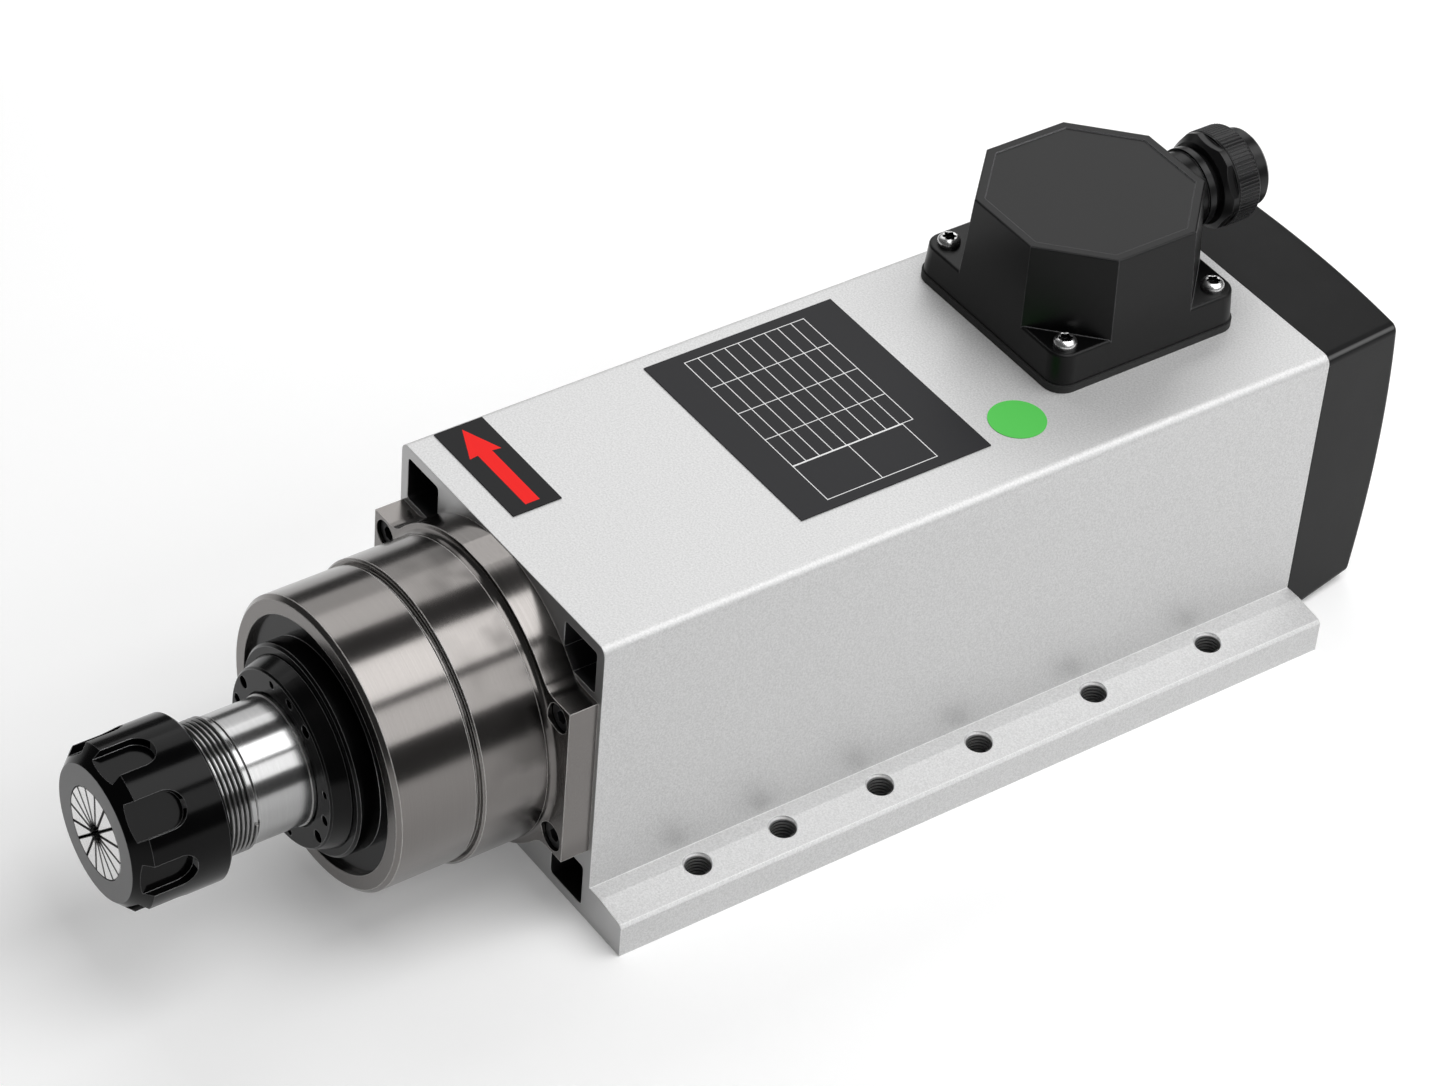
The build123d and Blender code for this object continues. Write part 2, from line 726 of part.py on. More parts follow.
def stator_slot(width, floor_radius, roof_radius, y_from, y_to):
    middle = spindle_height + (floor_radius + roof_radius) / 2
    return bar(Pos(0, middle) * Rectangle(width, roof_radius - floor_radius), y_from, y_to)


def stator_core():
    bore = rotor_radius + air_gap
    outside = bore_radius - seat_clearance
    floor_radius = bore + stator_tooth_tip
    body = ring(stack_front_y, stack_rear_y, bore, outside)
    slot = stator_slot(stator_slot_width, floor_radius, floor_radius + stator_slot_depth,
                       stack_front_y, stack_rear_y)
    for copy in around_spindle(slot, stator_slot_count):
        body -= copy
    return body


def end_turn(y_from, y_to, outward):
    """One bundle of end turns: a ring whose free end is bevelled."""
    inner = rotor_radius + air_gap + stator_tooth_tip - slot_liner
    outer = inner + stator_slot_depth + end_turn_corner / 2
    near, far = (y_from, y_to) if outward > 0 else (y_to, y_from)
    bevel = far - outward * end_turn_corner
    return turned([(near, inner), (near, outer), (bevel, outer), (far, outer - end_turn_corner),
                   (far, inner + end_turn_corner / 2), (bevel, inner)])


def stator_windings():
    """The end turns at both ends, joined by the coil sides that fill the slots."""
    front = end_turn(stack_front_y - end_turn_length, stack_front_y, -1)
    rear = end_turn(stack_rear_y, stack_rear_y + end_turn_length, 1)
    body = front + rear
    floor_radius = rotor_radius + air_gap + stator_tooth_tip + slot_liner
    roof_radius = floor_radius + stator_slot_depth - 2 * slot_liner
    side = stator_slot(stator_slot_width - 2 * slot_liner, floor_radius, roof_radius,
                       stack_front_y - slot_liner, stack_rear_y + slot_liner)
    for copy in around_spindle(side, stator_slot_count):
        body += copy
    return body


def rear_end_shield():
    hub_y = rear_y - shield_hub_depth
    body = bar(lugged_outline(shield_half_width, shield_half_height), rear_y, shield_y)
    body += round_bar(0, spindle_height, bore_radius - seat_clearance, rear_y - spigot_length, rear_y)
    body += round_bar(0, spindle_height, shield_hub_radius, hub_y, rear_y)
    pocket = rear_bearing_radius + seat_clearance
    pocket_floor = rear_bearing_end_y + spring_thickness
    shaft_hole = rear_bearing_bore_radius + shield_shaft_gap
    body -= turned([(hub_y, 0), (hub_y, pocket), (pocket_floor, pocket), (pocket_floor, shaft_hole),
                    (shield_y, shaft_hole), (shield_y, 0)])
    for x, z in flange_screw_places(shield_screw_x):
        body -= round_bar(x, z, screw_radius + screw_clearance, rear_y, shield_y)
    for x, z in cover_post_places():
        body -= round_bar(x, z, cover_screw_radius + screw_clearance, shield_y - cover_screw_bite, shield_y)
    return body


def shield_screws():
    head_y = shield_y + screw_head_height
    return [socket_screw(x, z, head_y, -1) for x, z in flange_screw_places(shield_screw_x)]


def wave_spring():
    """The preload spring behind the rear bearing: a thin washer folded up and down in turn."""
    outer = rear_bearing_radius - running_clearance
    inner = outer - spring_band_width
    middle_y = rear_bearing_end_y + spring_thickness / 2
    half_turn = 180.0 / (2 * spring_wave_count)
    reach = outer * sin(radians(half_turn))
    half_wall = spring_wall / 2
    rise = spring_thickness / 2 - half_wall
    spring_end_y = rear_bearing_end_y + spring_thickness
    rim_height = outer * cos(radians(half_turn))
    wedge_corners = [(0, 0), (-reach, rim_height), (0, 2 * outer), (reach, rim_height)]
    wedge_sketch = Pos(0, spindle_height) * make_face(Polyline(*wedge_corners, close=True))
    wedge = bar(wedge_sketch, rear_bearing_end_y, spring_end_y)
    band = ring(rear_bearing_end_y, spring_end_y, inner, outer)
    folds = []
    for slope in side_signs:
        low = middle_y - slope * rise
        high = middle_y + slope * rise
        strip = [(-reach, low - half_wall), (reach, high - half_wall),
                 (reach, high + half_wall), (-reach, low + half_wall)]
        sheet = upright(make_face(Polyline(*strip, close=True)), spindle_height, spindle_height + outer)
        folds.append(sheet & wedge & band)
    body = folds[0]
    for index in range(1, 2 * spring_wave_count):
        body += folds[index % 2].rotate(spindle_axis, 2 * half_turn * index)
    return body


def cooling_fan():
    bore = fan_seat_radius + seat_clearance
    disc = ring(fan_y, fan_y + fan_disc_thickness, bore, fan_radius)
    hub = ring(fan_y, fan_end_y, bore, fan_hub_radius)
    blade_foot = fan_hub_radius - fan_blade_root
    blade_length = fan_radius - blade_foot
    blade_sketch = Pos(0, spindle_height + blade_foot + blade_length / 2) * Rectangle(
        fan_blade_thickness, blade_length)
    blade = bar(blade_sketch, fan_y, fan_end_y)
    body = disc + hub
    for copy in around_spindle(blade, fan_blade_count):
        body += copy
    return body & ring(fan_y, fan_end_y, bore, fan_radius)


def fan_circlip():
    inner = fan_seat_radius - circlip_groove_depth + seat_clearance
    body = ring(fan_end_y, fan_end_y + circlip_thickness, inner, circlip_radius)
    gap_sketch = Pos(0, spindle_height - circlip_radius / 2) * Rectangle(circlip_gap_width, circlip_radius)
    return body - bar(gap_sketch, fan_end_y, fan_end_y + circlip_thickness)


def cover_form(inset):
    """The fan cover's tapering domed form, drawn in by an inset for its inside."""
    front = Pos(0, housing_height / 2) * Rectangle(housing_width - 2 * inset, housing_height - 2 * inset)
    rear_middle = cover_rear_rise + cover_rear_height / 2
    rear = Pos(0, rear_middle) * Rectangle(cover_rear_width - 2 * inset, cover_rear_height - 2 * inset)
    radius = cover_edge_radius - inset / 2
    front = fillet(front.vertices(), radius)
    rear = fillet(rear.vertices(), radius)
    front_plane = Plane(origin=(0, rear_y, 0), x_dir=(1, 0, 0), z_dir=(0, -1, 0))
    rear_plane = Plane(origin=(0, cover_end_y, 0), x_dir=(1, 0, 0), z_dir=(0, -1, 0))
    form = loft([front_plane * front, rear_plane * rear])
    dome_centre = cover_end_y - cover_dome_radius
    dome = Pos(0, dome_centre, spindle_height) * Sphere(cover_dome_radius - inset)
    return form & dome


def cover_post_places():
    return [(side * cover_post_x, spindle_height + rise * cover_post_rise)
            for side in side_signs for rise in side_signs]


def fan_cover():
    outside = cover_form(0.0)
    rear_edges = outside.faces().sort_by(Axis.Y)[-1].edges()
    outside = fillet(rear_edges, cover_rear_edge_radius)
    inside = cover_form(cover_wall)
    body = outside - inside
    for x, z in cover_post_places():
        post = round_bar(x, z, cover_post_radius, shield_y, cover_end_y)
        body += post & outside
    head_floor = cover_screw_floor()
    for x, z in cover_post_places():
        body -= round_bar(x, z, cover_screw_radius + screw_clearance, shield_y, cover_end_y)
        body -= round_bar(x, z, cover_screw_head_radius + running_clearance, head_floor, cover_end_y)
    spoke = Pos(fan_radius / 2, 0) * Rectangle(fan_radius + grille_slot_width, grille_spoke_width)
    for index in range(grille_ring_count):
        inner = grille_hub_radius + index * (grille_slot_width + grille_rib_width)
        slot = Circle(inner + grille_slot_width) - Circle(inner)
        for arm in range(grille_spoke_count):
            slot -= Rot(0, 0, 360.0 * arm / grille_spoke_count) * spoke
        body -= bar(Pos(0, spindle_height) * slot, fan_end_y + fan_gap, cover_end_y)
    return body


def cover_screw_floor():
    """Where the cover screws' heads sit, sunk into the domed rear wall."""
    offset = sqrt(cover_post_x ** 2 + cover_post_rise ** 2)
    dome_y = cover_end_y - offset ** 2 / (2 * cover_dome_radius)
    return dome_y - cover_screw_head_height - cover_screw_sink


def cover_screws():
    screws = []
    floor_y = cover_screw_floor()
    head_y = floor_y + cover_screw_head_height
    arm = Rectangle(2 * cover_screw_radius, cover_screw_cross_width)
    cross = arm + Rot(0, 0, 90) * arm
    for x, z in cover_post_places():
        shank = round_bar(x, z, cover_screw_radius, shield_y - cover_screw_bite, floor_y)
        head = round_bar(x, z, cover_screw_head_radius, floor_y, head_y)
        head -= bar(Pos(x, z) * cross, head_y - cover_screw_cross_depth, head_y)
        screws.append(shank + head)
    return screws


def box_screw_places():
    return [Pos(box_x + side * box_screw_x, box_y + end * box_screw_y)
            for side in side_signs for end in side_signs]


def tower(inset, top_z):
    """The terminal box's drafted eight-sided form, drawn in by an inset for its inside."""
    share = (top_z - box_base_z) / box_height
    width = box_width + share * (box_top_width - box_width) - 2 * inset
    depth = 2 * tower_half_depth(top_z) - 2 * inset
    cut = box_base_cut + share * (box_top_cut - box_base_cut) - inset * cut_corner_share
    base_cut = box_base_cut - inset * cut_corner_share
    base = cut_corner_rectangle(box_width - 2 * inset, box_depth - 2 * inset, base_cut)
    top = cut_corner_rectangle(width, depth, cut)
    place = Pos(box_x, box_y)
    sections = [Plane.XY.offset(box_base_z) * place * base, Plane.XY.offset(top_z) * place * top]
    return loft(sections, ruled=True)


def box_skirt():
    """The square foot round the tower, whose corners are the ledges for the screws."""
    share = box_ledge_height / box_height
    width = box_width + share * (box_top_width - box_width)
    depth = 2 * tower_half_depth(ledge_z)
    place = Pos(box_x, box_y)
    base = fillet(Rectangle(box_width, box_depth).vertices(), box_corner_radius)
    ledge = fillet(Rectangle(width, depth).vertices(), box_corner_radius)
    skirt = loft([Plane.XY.offset(box_base_z) * place * base, Plane.XY.offset(ledge_z) * place * ledge])
    return fillet(skirt.faces().sort_by(Axis.Z)[-1].edges(), ledge_edge_radius)


def terminal_box():
    outside = tower(0.0, box_top_z)
    outside = fillet(outside.faces().sort_by(Axis.Z)[-1].edges(), box_edge_radius)
    body = outside + box_skirt() - tower(box_wall, box_top_z - box_wall)
    body += round_bar(box_x, gland_z, gland_boss_radius, gland_seat_y, gland_face_y)
    body -= round_bar(box_x, gland_z, gland_stem_radius + screw_clearance, gland_seat_y, gland_face_y)
    for screw_place in box_screw_places():
        hole = screw_place * Circle(box_screw_radius + screw_clearance)
        body -= upright(hole, box_base_z, ledge_z)
    panel = cut_corner_rectangle(box_top_width - 2 * panel_inset, box_top_depth - 2 * panel_inset,
                                 box_top_cut - panel_inset * cut_corner_share)
    body -= upright(Pos(box_x, box_y) * panel, box_top_z - panel_depth, box_top_z)
    return body


def box_gasket():
    outline = Rectangle(box_width + 2 * gasket_overhang, box_depth + 2 * gasket_overhang)
    outline = fillet(outline.vertices(), box_corner_radius + gasket_overhang)
    window = cut_corner_rectangle(box_width - 2 * box_wall, box_depth - 2 * box_wall, box_base_cut)
    body = upright(Pos(box_x, box_y) * (outline - window), housing_height, box_base_z)
    for screw_place in box_screw_places():
        hole = screw_place * Circle(box_screw_radius + screw_clearance)
        body -= upright(hole, housing_height, box_base_z)
    return body


def box_screws():
    screws = []
    dome_radius = box_screw_head_height * box_screw_dome_share
    blank = Pos(0, 0, ledge_z) * Cylinder(box_screw_head_radius, box_screw_head_height, align=on_floor)
    for place in box_screw_places():
        head = place * blank
        head = fillet(head.edges().filter_by(GeomType.CIRCLE).sort_by(Axis.Z)[-1], dome_radius)
        head_top = ledge_z + box_screw_head_height
        socket = place * RegularPolygon(box_screw_socket_radius, 6)
        head -= upright(socket, head_top - box_screw_socket_depth, head_top)
        shank = upright(place * Circle(box_screw_radius), housing_height - box_screw_bite, ledge_z)
        screws.append(head + shank)
    return screws


def terminal_block():
    floor_z = housing_height + block_foot_height
    place = Pos(box_x, box_y)
    body = upright(place * Rectangle(block_width, block_depth), floor_z, floor_z + block_thickness)
    foot_x = (block_width - block_foot_width) / 2
    for side in side_signs:
        foot = place * Pos(side * foot_x, 0) * Rectangle(block_foot_width, block_depth)
        body += upright(foot, housing_height, floor_z)
    for stud_place in stud_places():
        hole = stud_place * Circle(stud_radius + seat_clearance)
        body -= upright(hole, floor_z, floor_z + block_thickness)
    return body


def stud_places():
    places = []
    for column in range(stud_columns):
        for row in range(stud_rows):
            x = (column - (stud_columns - 1) / 2) * stud_pitch_x
            y = (row - (stud_rows - 1) / 2) * stud_pitch_y
            places.append(Pos(box_x + x, box_y + y))
    return places


def terminal_studs():
    floor_z = housing_height + block_foot_height
    top_z = floor_z + block_thickness
    studs = []
    for place in stud_places():
        stud = upright(place * Circle(stud_radius), floor_z, top_z + stud_height)
        nut = upright(place * RegularPolygon(stud_nut_radius, 6), top_z, top_z + stud_nut_height)
        studs.append(stud + nut)
    return studs


def motor_leads(windings):
    """The leads that rise from the rear end turns through the housing to the terminal block."""
    bottom_z = spindle_height + rotor_radius + end_turn_corner
    top_z = housing_height + block_foot_height
    leads = []
    for index in range(lead_count):
        x = box_x + (index - (lead_count - 1) / 2) * lead_pitch
        lead = upright(Pos(x, box_y) * Circle(lead_radius), bottom_z, top_z)
        leads.append((lead - windings).solids().sort_by(Axis.Z)[-1])
    return leads


def gland_turned(points):
    return turned(points, box_x, gland_z)


def gland_body():
    flange_y = gland_face_y + gland_flange_width
    stem_y = gland_seat_y - gland_locknut_width - gland_stem_reach
    seat_y = gland_body_end_y - gland_seal_length + gland_seal_proud
    return gland_turned([
        (stem_y, gland_bore_radius), (stem_y, gland_stem_radius), (gland_face_y, gland_stem_radius),
        (gland_face_y, gland_flange_radius), (flange_y - gland_flange_chamfer, gland_flange_radius),
        (flange_y, gland_flange_radius - gland_flange_chamfer), (flange_y, gland_neck_radius),
        (gland_body_end_y, gland_neck_radius), (gland_body_end_y, gland_seat_radius),
        (seat_y, gland_seat_radius), (seat_y, gland_bore_radius)])


def gland_locknut():
    """The nut on the gland's stem, tight against the seat inside the box."""
    hexagon = Pos(box_x, gland_z) * RegularPolygon(gland_locknut_radius, gland_nut_sides)
    hole = Pos(box_x, gland_z) * Circle(gland_stem_radius + seat_clearance)
    return bar(hexagon - hole, gland_seat_y - gland_locknut_width, gland_seat_y)


def gland_seal():
    seat_y = gland_body_end_y - gland_seal_length + gland_seal_proud
    outer = gland_seat_radius - screw_clearance
    return gland_turned([
        (seat_y, gland_bore_radius), (seat_y, outer), (gland_body_end_y, outer),
        (gland_body_end_y + gland_seal_proud, outer - gland_seal_proud),
        (gland_body_end_y + gland_seal_proud, gland_bore_radius)])


def gland_clamp_ring():
    """The split ring that the gland nut squeezes on to the seal."""
    front_y = gland_body_end_y + gland_seal_proud + running_clearance
    end_y = front_y + clamp_ring_length
    band_y = front_y + clamp_ring_band
    body = gland_turned([
        (front_y, gland_bore_radius), (front_y, clamp_ring_radius), (band_y, clamp_ring_radius),
        (end_y, clamp_ring_nose_radius), (end_y, gland_bore_radius)])
    slit_sketch = Rectangle(clamp_ring_slit_width, gland_nut_radius)
    slit = bar(Pos(box_x, gland_z + gland_nut_radius / 2) * slit_sketch, band_y, end_y)
    axis = Axis((box_x, 0, gland_z), (0, 1, 0))
    for index in range(clamp_ring_slit_count):
        body -= slit.rotate(axis, 360.0 * index / clamp_ring_slit_count)
    return body


def gland_nut():
    """The gland's nut: a bevelled six-sided front, a round grip and a smooth end."""
    grip_end = gland_nut_y + gland_nut_length
    end_y = grip_end + gland_end_length
    ring_front = gland_body_end_y + gland_seal_proud + running_clearance
    ring_end = ring_front + clamp_ring_length
    band_y = ring_front + clamp_ring_band
    thread = gland_neck_radius + running_clearance
    gap = running_clearance
    body = gland_turned([
        (gland_nut_y, thread), (gland_nut_y, gland_nut_radius - gland_nut_bevel),
        (gland_nut_y + gland_nut_bevel, gland_nut_radius), (grip_end - gland_nut_edge, gland_nut_radius),
        (grip_end, gland_nut_radius - gland_nut_edge), (grip_end, gland_end_radius),
        (end_y - gland_end_chamfer, gland_end_radius), (end_y, gland_end_radius - gland_end_chamfer),
        (end_y, gland_mouth_radius), (ring_end + gap, gland_mouth_radius),
        (ring_end + gap, clamp_ring_nose_radius + gap), (band_y, clamp_ring_radius + gap),
        (ring_front - gap, clamp_ring_radius + gap), (ring_front - gap, thread)])
    flat_reach = gland_nut_radius - gland_nut_flat_depth
    hexagon = Pos(box_x, gland_z) * RegularPolygon(flat_reach, gland_nut_sides, major_radius=False)
    front_end = gland_nut_y + gland_nut_length * gland_nut_front_share
    barrel = bar(Pos(box_x, gland_z) * Circle(2 * gland_nut_radius), front_end, end_y)
    return body & (bar(hexagon, gland_nut_y, front_end) + barrel)


def rating_plate():
    place = Pos(rating_plate_x, front_y + rating_plate_station)
    return upright(place * Rectangle(rating_plate_width, rating_plate_length),
                   housing_height, housing_height + plate_thickness)


def direction_label():
    place = Pos(direction_label_x, front_y + direction_label_station)
    return upright(place * Rectangle(direction_label_width, direction_label_length),
                   housing_height, housing_height + plate_thickness)


def inspection_sticker():
    place = Pos(sticker_x, front_y + sticker_station)
    return upright(place * Circle(sticker_radius), housing_height, housing_height + sticker_thickness)


def save(name, shape):
    if isinstance(shape, list):
        solids = [solid for piece in shape for solid in piece.solids()]
    else:
        solids = list(shape.solids())
    result = solids[0] if len(solids) == 1 else Compound(children=solids)
    export_step(result, f"parts/{name}.step")


def build():
    os.makedirs("parts", exist_ok=True)
    front_inner, front_outer, front_balls, front_cages = front_bearings()
    rear_size = (rear_bearing_bore_radius, rear_bearing_radius)
    rear_inner, rear_outer = races(rear_bearing_y, rear_bearing_width, *rear_size, rear_ball_radius)
    rear_balls, rear_cage = ball_set(rear_bearing_y, rear_bearing_width, *rear_size,
                                     rear_ball_radius, rear_ball_count)
    windings = stator_windings()
    pieces = {
        "motor_housing": motor_housing(),
        "front_bearing_housing": front_bearing_housing(),
        "flange_screws": flange_screws(),
        "front_bearing_outer_races": front_outer,
        "front_bearing_inner_races": front_inner,
        "front_bearing_balls": front_balls,
        "front_bearing_cages": front_cages,
        "front_bearing_cap": front_bearing_cap(),
        "dust_ring": dust_ring(),
        "bearing_locknut": bearing_locknut(),
        "spindle_shaft": spindle_shaft(),
        "collet": collet(),
        "collet_nut": collet_nut(),
        "rotor_core": rotor_core(),
        "rotor_end_rings": rotor_end_rings(),
        "stator_core": stator_core(),
        "stator_windings": windings,
        "rear_end_shield": rear_end_shield(),
        "shield_screws": shield_screws(),
        "rear_bearing_outer_race": rear_outer,
        "rear_bearing_inner_race": rear_inner,
        "rear_bearing_balls": rear_balls,
        "rear_bearing_cage": rear_cage,
        "wave_spring": wave_spring(),
        "cooling_fan": cooling_fan(),
        "fan_circlip": fan_circlip(),
        "fan_cover": fan_cover(),
        "fan_cover_screws": cover_screws(),
        "box_gasket": box_gasket(),
        "terminal_box": terminal_box(),
        "box_screws": box_screws(),
        "terminal_block": terminal_block(),
        "terminal_studs": terminal_studs(),
        "motor_leads": motor_leads(windings),
        "gland_body": gland_body(),
        "gland_locknut": gland_locknut(),
        "gland_seal": gland_seal(),
        "gland_clamp_ring": gland_clamp_ring(),
        "gland_nut": gland_nut(),
        "rating_plate": rating_plate(),
        "direction_label": direction_label(),
        "inspection_sticker": inspection_sticker(),
    }
    for name, shape in pieces.items():
        save(name, shape)


build()
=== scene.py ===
import bpy
from itertools import product
from math import acos, cos, pi, radians, sin, tan
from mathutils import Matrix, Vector


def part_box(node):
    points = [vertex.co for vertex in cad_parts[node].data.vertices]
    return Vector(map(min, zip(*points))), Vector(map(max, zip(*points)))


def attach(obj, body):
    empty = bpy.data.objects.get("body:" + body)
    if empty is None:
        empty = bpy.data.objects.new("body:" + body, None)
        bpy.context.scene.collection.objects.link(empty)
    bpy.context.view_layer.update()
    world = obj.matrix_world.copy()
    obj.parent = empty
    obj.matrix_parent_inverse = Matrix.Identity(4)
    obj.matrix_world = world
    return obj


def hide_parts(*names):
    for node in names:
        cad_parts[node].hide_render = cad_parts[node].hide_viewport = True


MM = 0.001
RIGHT = (1.0, 0.0, 0.0)
BACK = (0.0, 1.0, 0.0)
FRONT = (0.0, -1.0, 0.0)
UP = (0.0, 0.0, 1.0)

# Camera, fitted to the photograph's edges
CAMERA_PLACE = (834.9 * MM, -702.5 * MM, 961.1 * MM)
CAMERA_TURN = (49.81, -3.837, 55.292)      # degrees
CAMERA_LENS = 118.01
SENSOR_WIDTH = 36.0

# Light: long softboxes beside the spindle, each with its angle and spread in degrees and its brightness
LIGHT_BANKS = (
    ("left_bank_low", -62.0, 22.0, 1.1),
    ("left_bank", -38.0, 26.0, 2.0),
    ("top_bank", 15.0, 31.0, 3.7),
    ("right_bank", 50.0, 26.0, 2.3),
)
BANK_REACH = 1.3                           # metres from the spindle's axis
BANK_LENGTH = 1.8
BANK_MIDDLE = 0.55                         # along the spindle's axis
ROOM_LIGHT = 0.09

# Floor
FLOOR_REACH = 6.0
FLOOR_GLOW = 0.17                          # near the object
WHITE_START = 0.4                          # metres from the middle to where the floor begins to pale
WHITE_END = 1.2                            # and to where it is white

# Axes of the turned pieces
SPINDLE_Z = 55.0 * MM
GLAND_X = -9.0 * MM
GLAND_Z = 131.2 * MM

# Edges, seen by how far the rounded shading turns from the plain one
EDGE_SAMPLES = 4
EDGE_BENT = 0.80                           # agreement of the two where an edge is full
EDGE_FLAT = 0.995                          # and where the surface counts as flat

# Which way a surface has to face, from 0 to 1
FACES_END = 0.7
FACES_FRONT = 0.9
FACES_FRONT_SQUARE = 0.98

# Collet slits on its face, from straight up, painted dark as shade
SLIT_COUNT = 16
SLIT_HALF_WIDTH = 0.50 * MM
SLIT_SHARP_SHARE = 0.8                     # share of the width that is fully dark

# Painted shade on the bearing housing, in patches from the nose towards the flange
FLANGE_SHADE_START = -166.0 * MM
FLANGE_SHADE_END = -143.0 * MM
FLANGE_FACE = -139.6 * MM
FLANGE_SHADE_STRENGTH = 0.8

# Lathe grooves on the turned pieces
GROOVE_DEPTH = 0.004 * MM

# Grain of the moulded pieces
GRAIN_PER_MM = 2.2
GRAIN_DEPTH = 0.02 * MM
CORNER_HIGHLIGHT_START = 0.42                        # slope of a long corner where its painted highlight starts, as the product of its two facings
CORNER_HIGHLIGHT_END = 0.49

# Thickness of a lamination
SHEET = 0.5 * MM

# Threads: flats at the crest and the root, as shares of the pitch
THREAD_CREST_SHARE = 0.16
THREAD_ROOT_SHARE = 0.86

# Shaft thread
THREAD_ROOT = 19.08 * MM
THREAD_CREST = 19.98 * MM
THREAD_PITCH = 1.5 * MM
THREAD_START = -220.0 * MM                 # its last turn, towards the motor
THREAD_TURNS = 21.0
THREAD_STEPS = 72                          # facets in a turn

# Walls of the housing's channels: inside these reaches from its middle, the walls are painted dark as shade
HOUSING_MIDDLE = 51.75 * MM
INSIDE_X = 50.5 * MM
INSIDE_Z = 49.7 * MM

# Threads in the foot holes
FOOT_HOLE_X = 60.0 * MM
FOOT_HOLE_STATIONS = (-97.5, -67.5, -32.5, 4.0, 47.5, 92.0)    # mm along the housing
FOOT_HOLE_RADIUS = 4.02 * MM
FOOT_THREAD_CREST = 3.20 * MM
FOOT_THREAD_PITCH = 1.25 * MM
FOOT_THREAD_TURNS = 9.0
FOOT_THREAD_STEPS = 28
FOOT_THREAD_START = 0.8 * MM

# Ribs round the gland nut
GRIP_PANELS = 6
GRIP_RIBS = 11                             # ribs in a panel
GRIP_PANEL_ANGLE = 48.0                    # degrees that a panel spans
GRIP_START = 128.2 * MM
GRIP_END = 135.6 * MM
GRIP_RADIUS = 14.9 * MM
GRIP_RIB_RADIUS = 0.36 * MM
GRIP_RIB_SIDES = 8
GRIP_FRAME = 0.45 * MM
GRIP_FRAME_SHARE = 1.14                    # angle of a panel's frame, as a share of its ribs' angle
GRIP_FRAME_STEPS = 16

# Terminal box screws
BOX_SCREW_X = 28.5 * MM
BOX_SCREW_Y = 28.0 * MM
BOX_X = -9.0 * MM
BOX_Y = 81.0 * MM
LEDGE_Z = 116.5 * MM
BUTTON_RADIUS = 3.6 * MM
BUTTON_HEIGHT = 2.5 * MM
BUTTON_UNDERCUT = 0.3 * MM
BUTTON_BAND = 0.28                         # straight part of the head's side, as a share of its height
BUTTON_DOME_STEPS = 6
BUTTON_SOCKET = 1.85 * MM
BUTTON_SOCKET_BEVEL = 0.12 * MM
BUTTON_SOCKET_DEPTH = 1.7 * MM
BUTTON_LOBES = 6
BUTTON_LOBE = 0.28 * MM
BUTTON_LIP = 0.10 * MM
BUTTON_STEPS = 72
BUTTON_SHARP = 35.0                        # edges sharper than this angle stay crisp

# Printing on the labels
INK_THICKNESS = 0.03 * MM
RULE_WIDTH = 0.28 * MM
COLUMN_RULE_SHARE = 0.8                    # a column's rule is this much as thick as a row's
TABLE_LEFT = 4.0 * MM                      # from the plate's front left corner
TABLE_FRONT = 11.75 * MM
TABLE_LENGTH = 55.0 * MM                   # across the housing
TABLE_DEPTH = 43.0 * MM
TABLE_ROWS = 9
TABLE_COLUMNS = 4
PANEL_LENGTH = 17.0 * MM
PANEL_DEPTH = 39.0 * MM
PANEL_CELLS = 2
ARROW_TIP = 2.2 * MM                       # from the label's left side
ARROW_TAIL = 2.6 * MM                      # from its right side
ARROW_HEAD = 12.6 * MM
ARROW_HALF_HEAD = 5.3 * MM
ARROW_HALF_SHAFT = 2.4 * MM
ARROW_BARB = 0.4 * MM


def grey(tone):
    return (tone, tone, tone)


def shade(colour, share):
    """A colour made darker or paler."""
    return tuple(share * channel for channel in colour)


# Node trees

class NodeTree:
    """Short calls that add nodes to a tree and feed their inputs."""

    def __init__(self, tree):
        self.nodes = tree.nodes
        self.links = tree.links

    def add(self, kind, settings=None, output=0, **inputs):
        """Adds a node. An input goes by its label, or by its number as i0, i1 and so on."""
        node = self.nodes.new(kind)
        for name, value in (settings or {}).items():
            setattr(node, name, value)
        for name, value in inputs.items():
            numbered = name[0] == "i" and name[1:].isdigit()
            self.feed(node.inputs[int(name[1:]) if numbered else name.replace("_", " ")], value)
        return node.outputs[output]

    def feed(self, socket, value):
        if isinstance(value, bpy.types.NodeSocket):
            self.links.new(value, socket)
        else:
            socket.default_value = value

    def math(self, operation, first, second=0.0):
        return self.add("ShaderNodeMath", {"operation": operation}, i0=first, i1=second)

    def times(self, first, second):
        return self.math("MULTIPLY", first, second)

    def mixed(self, share, first, second):
        """A colour between two others."""
        mix = self.nodes.new("ShaderNodeMix")
        mix.data_type = "RGBA"
        for index, value in ((0, share), (6, first), (7, second)):
            self.feed(mix.inputs[index], (*value, 1.0) if isinstance(value, tuple) else value)
        return mix.outputs[2]


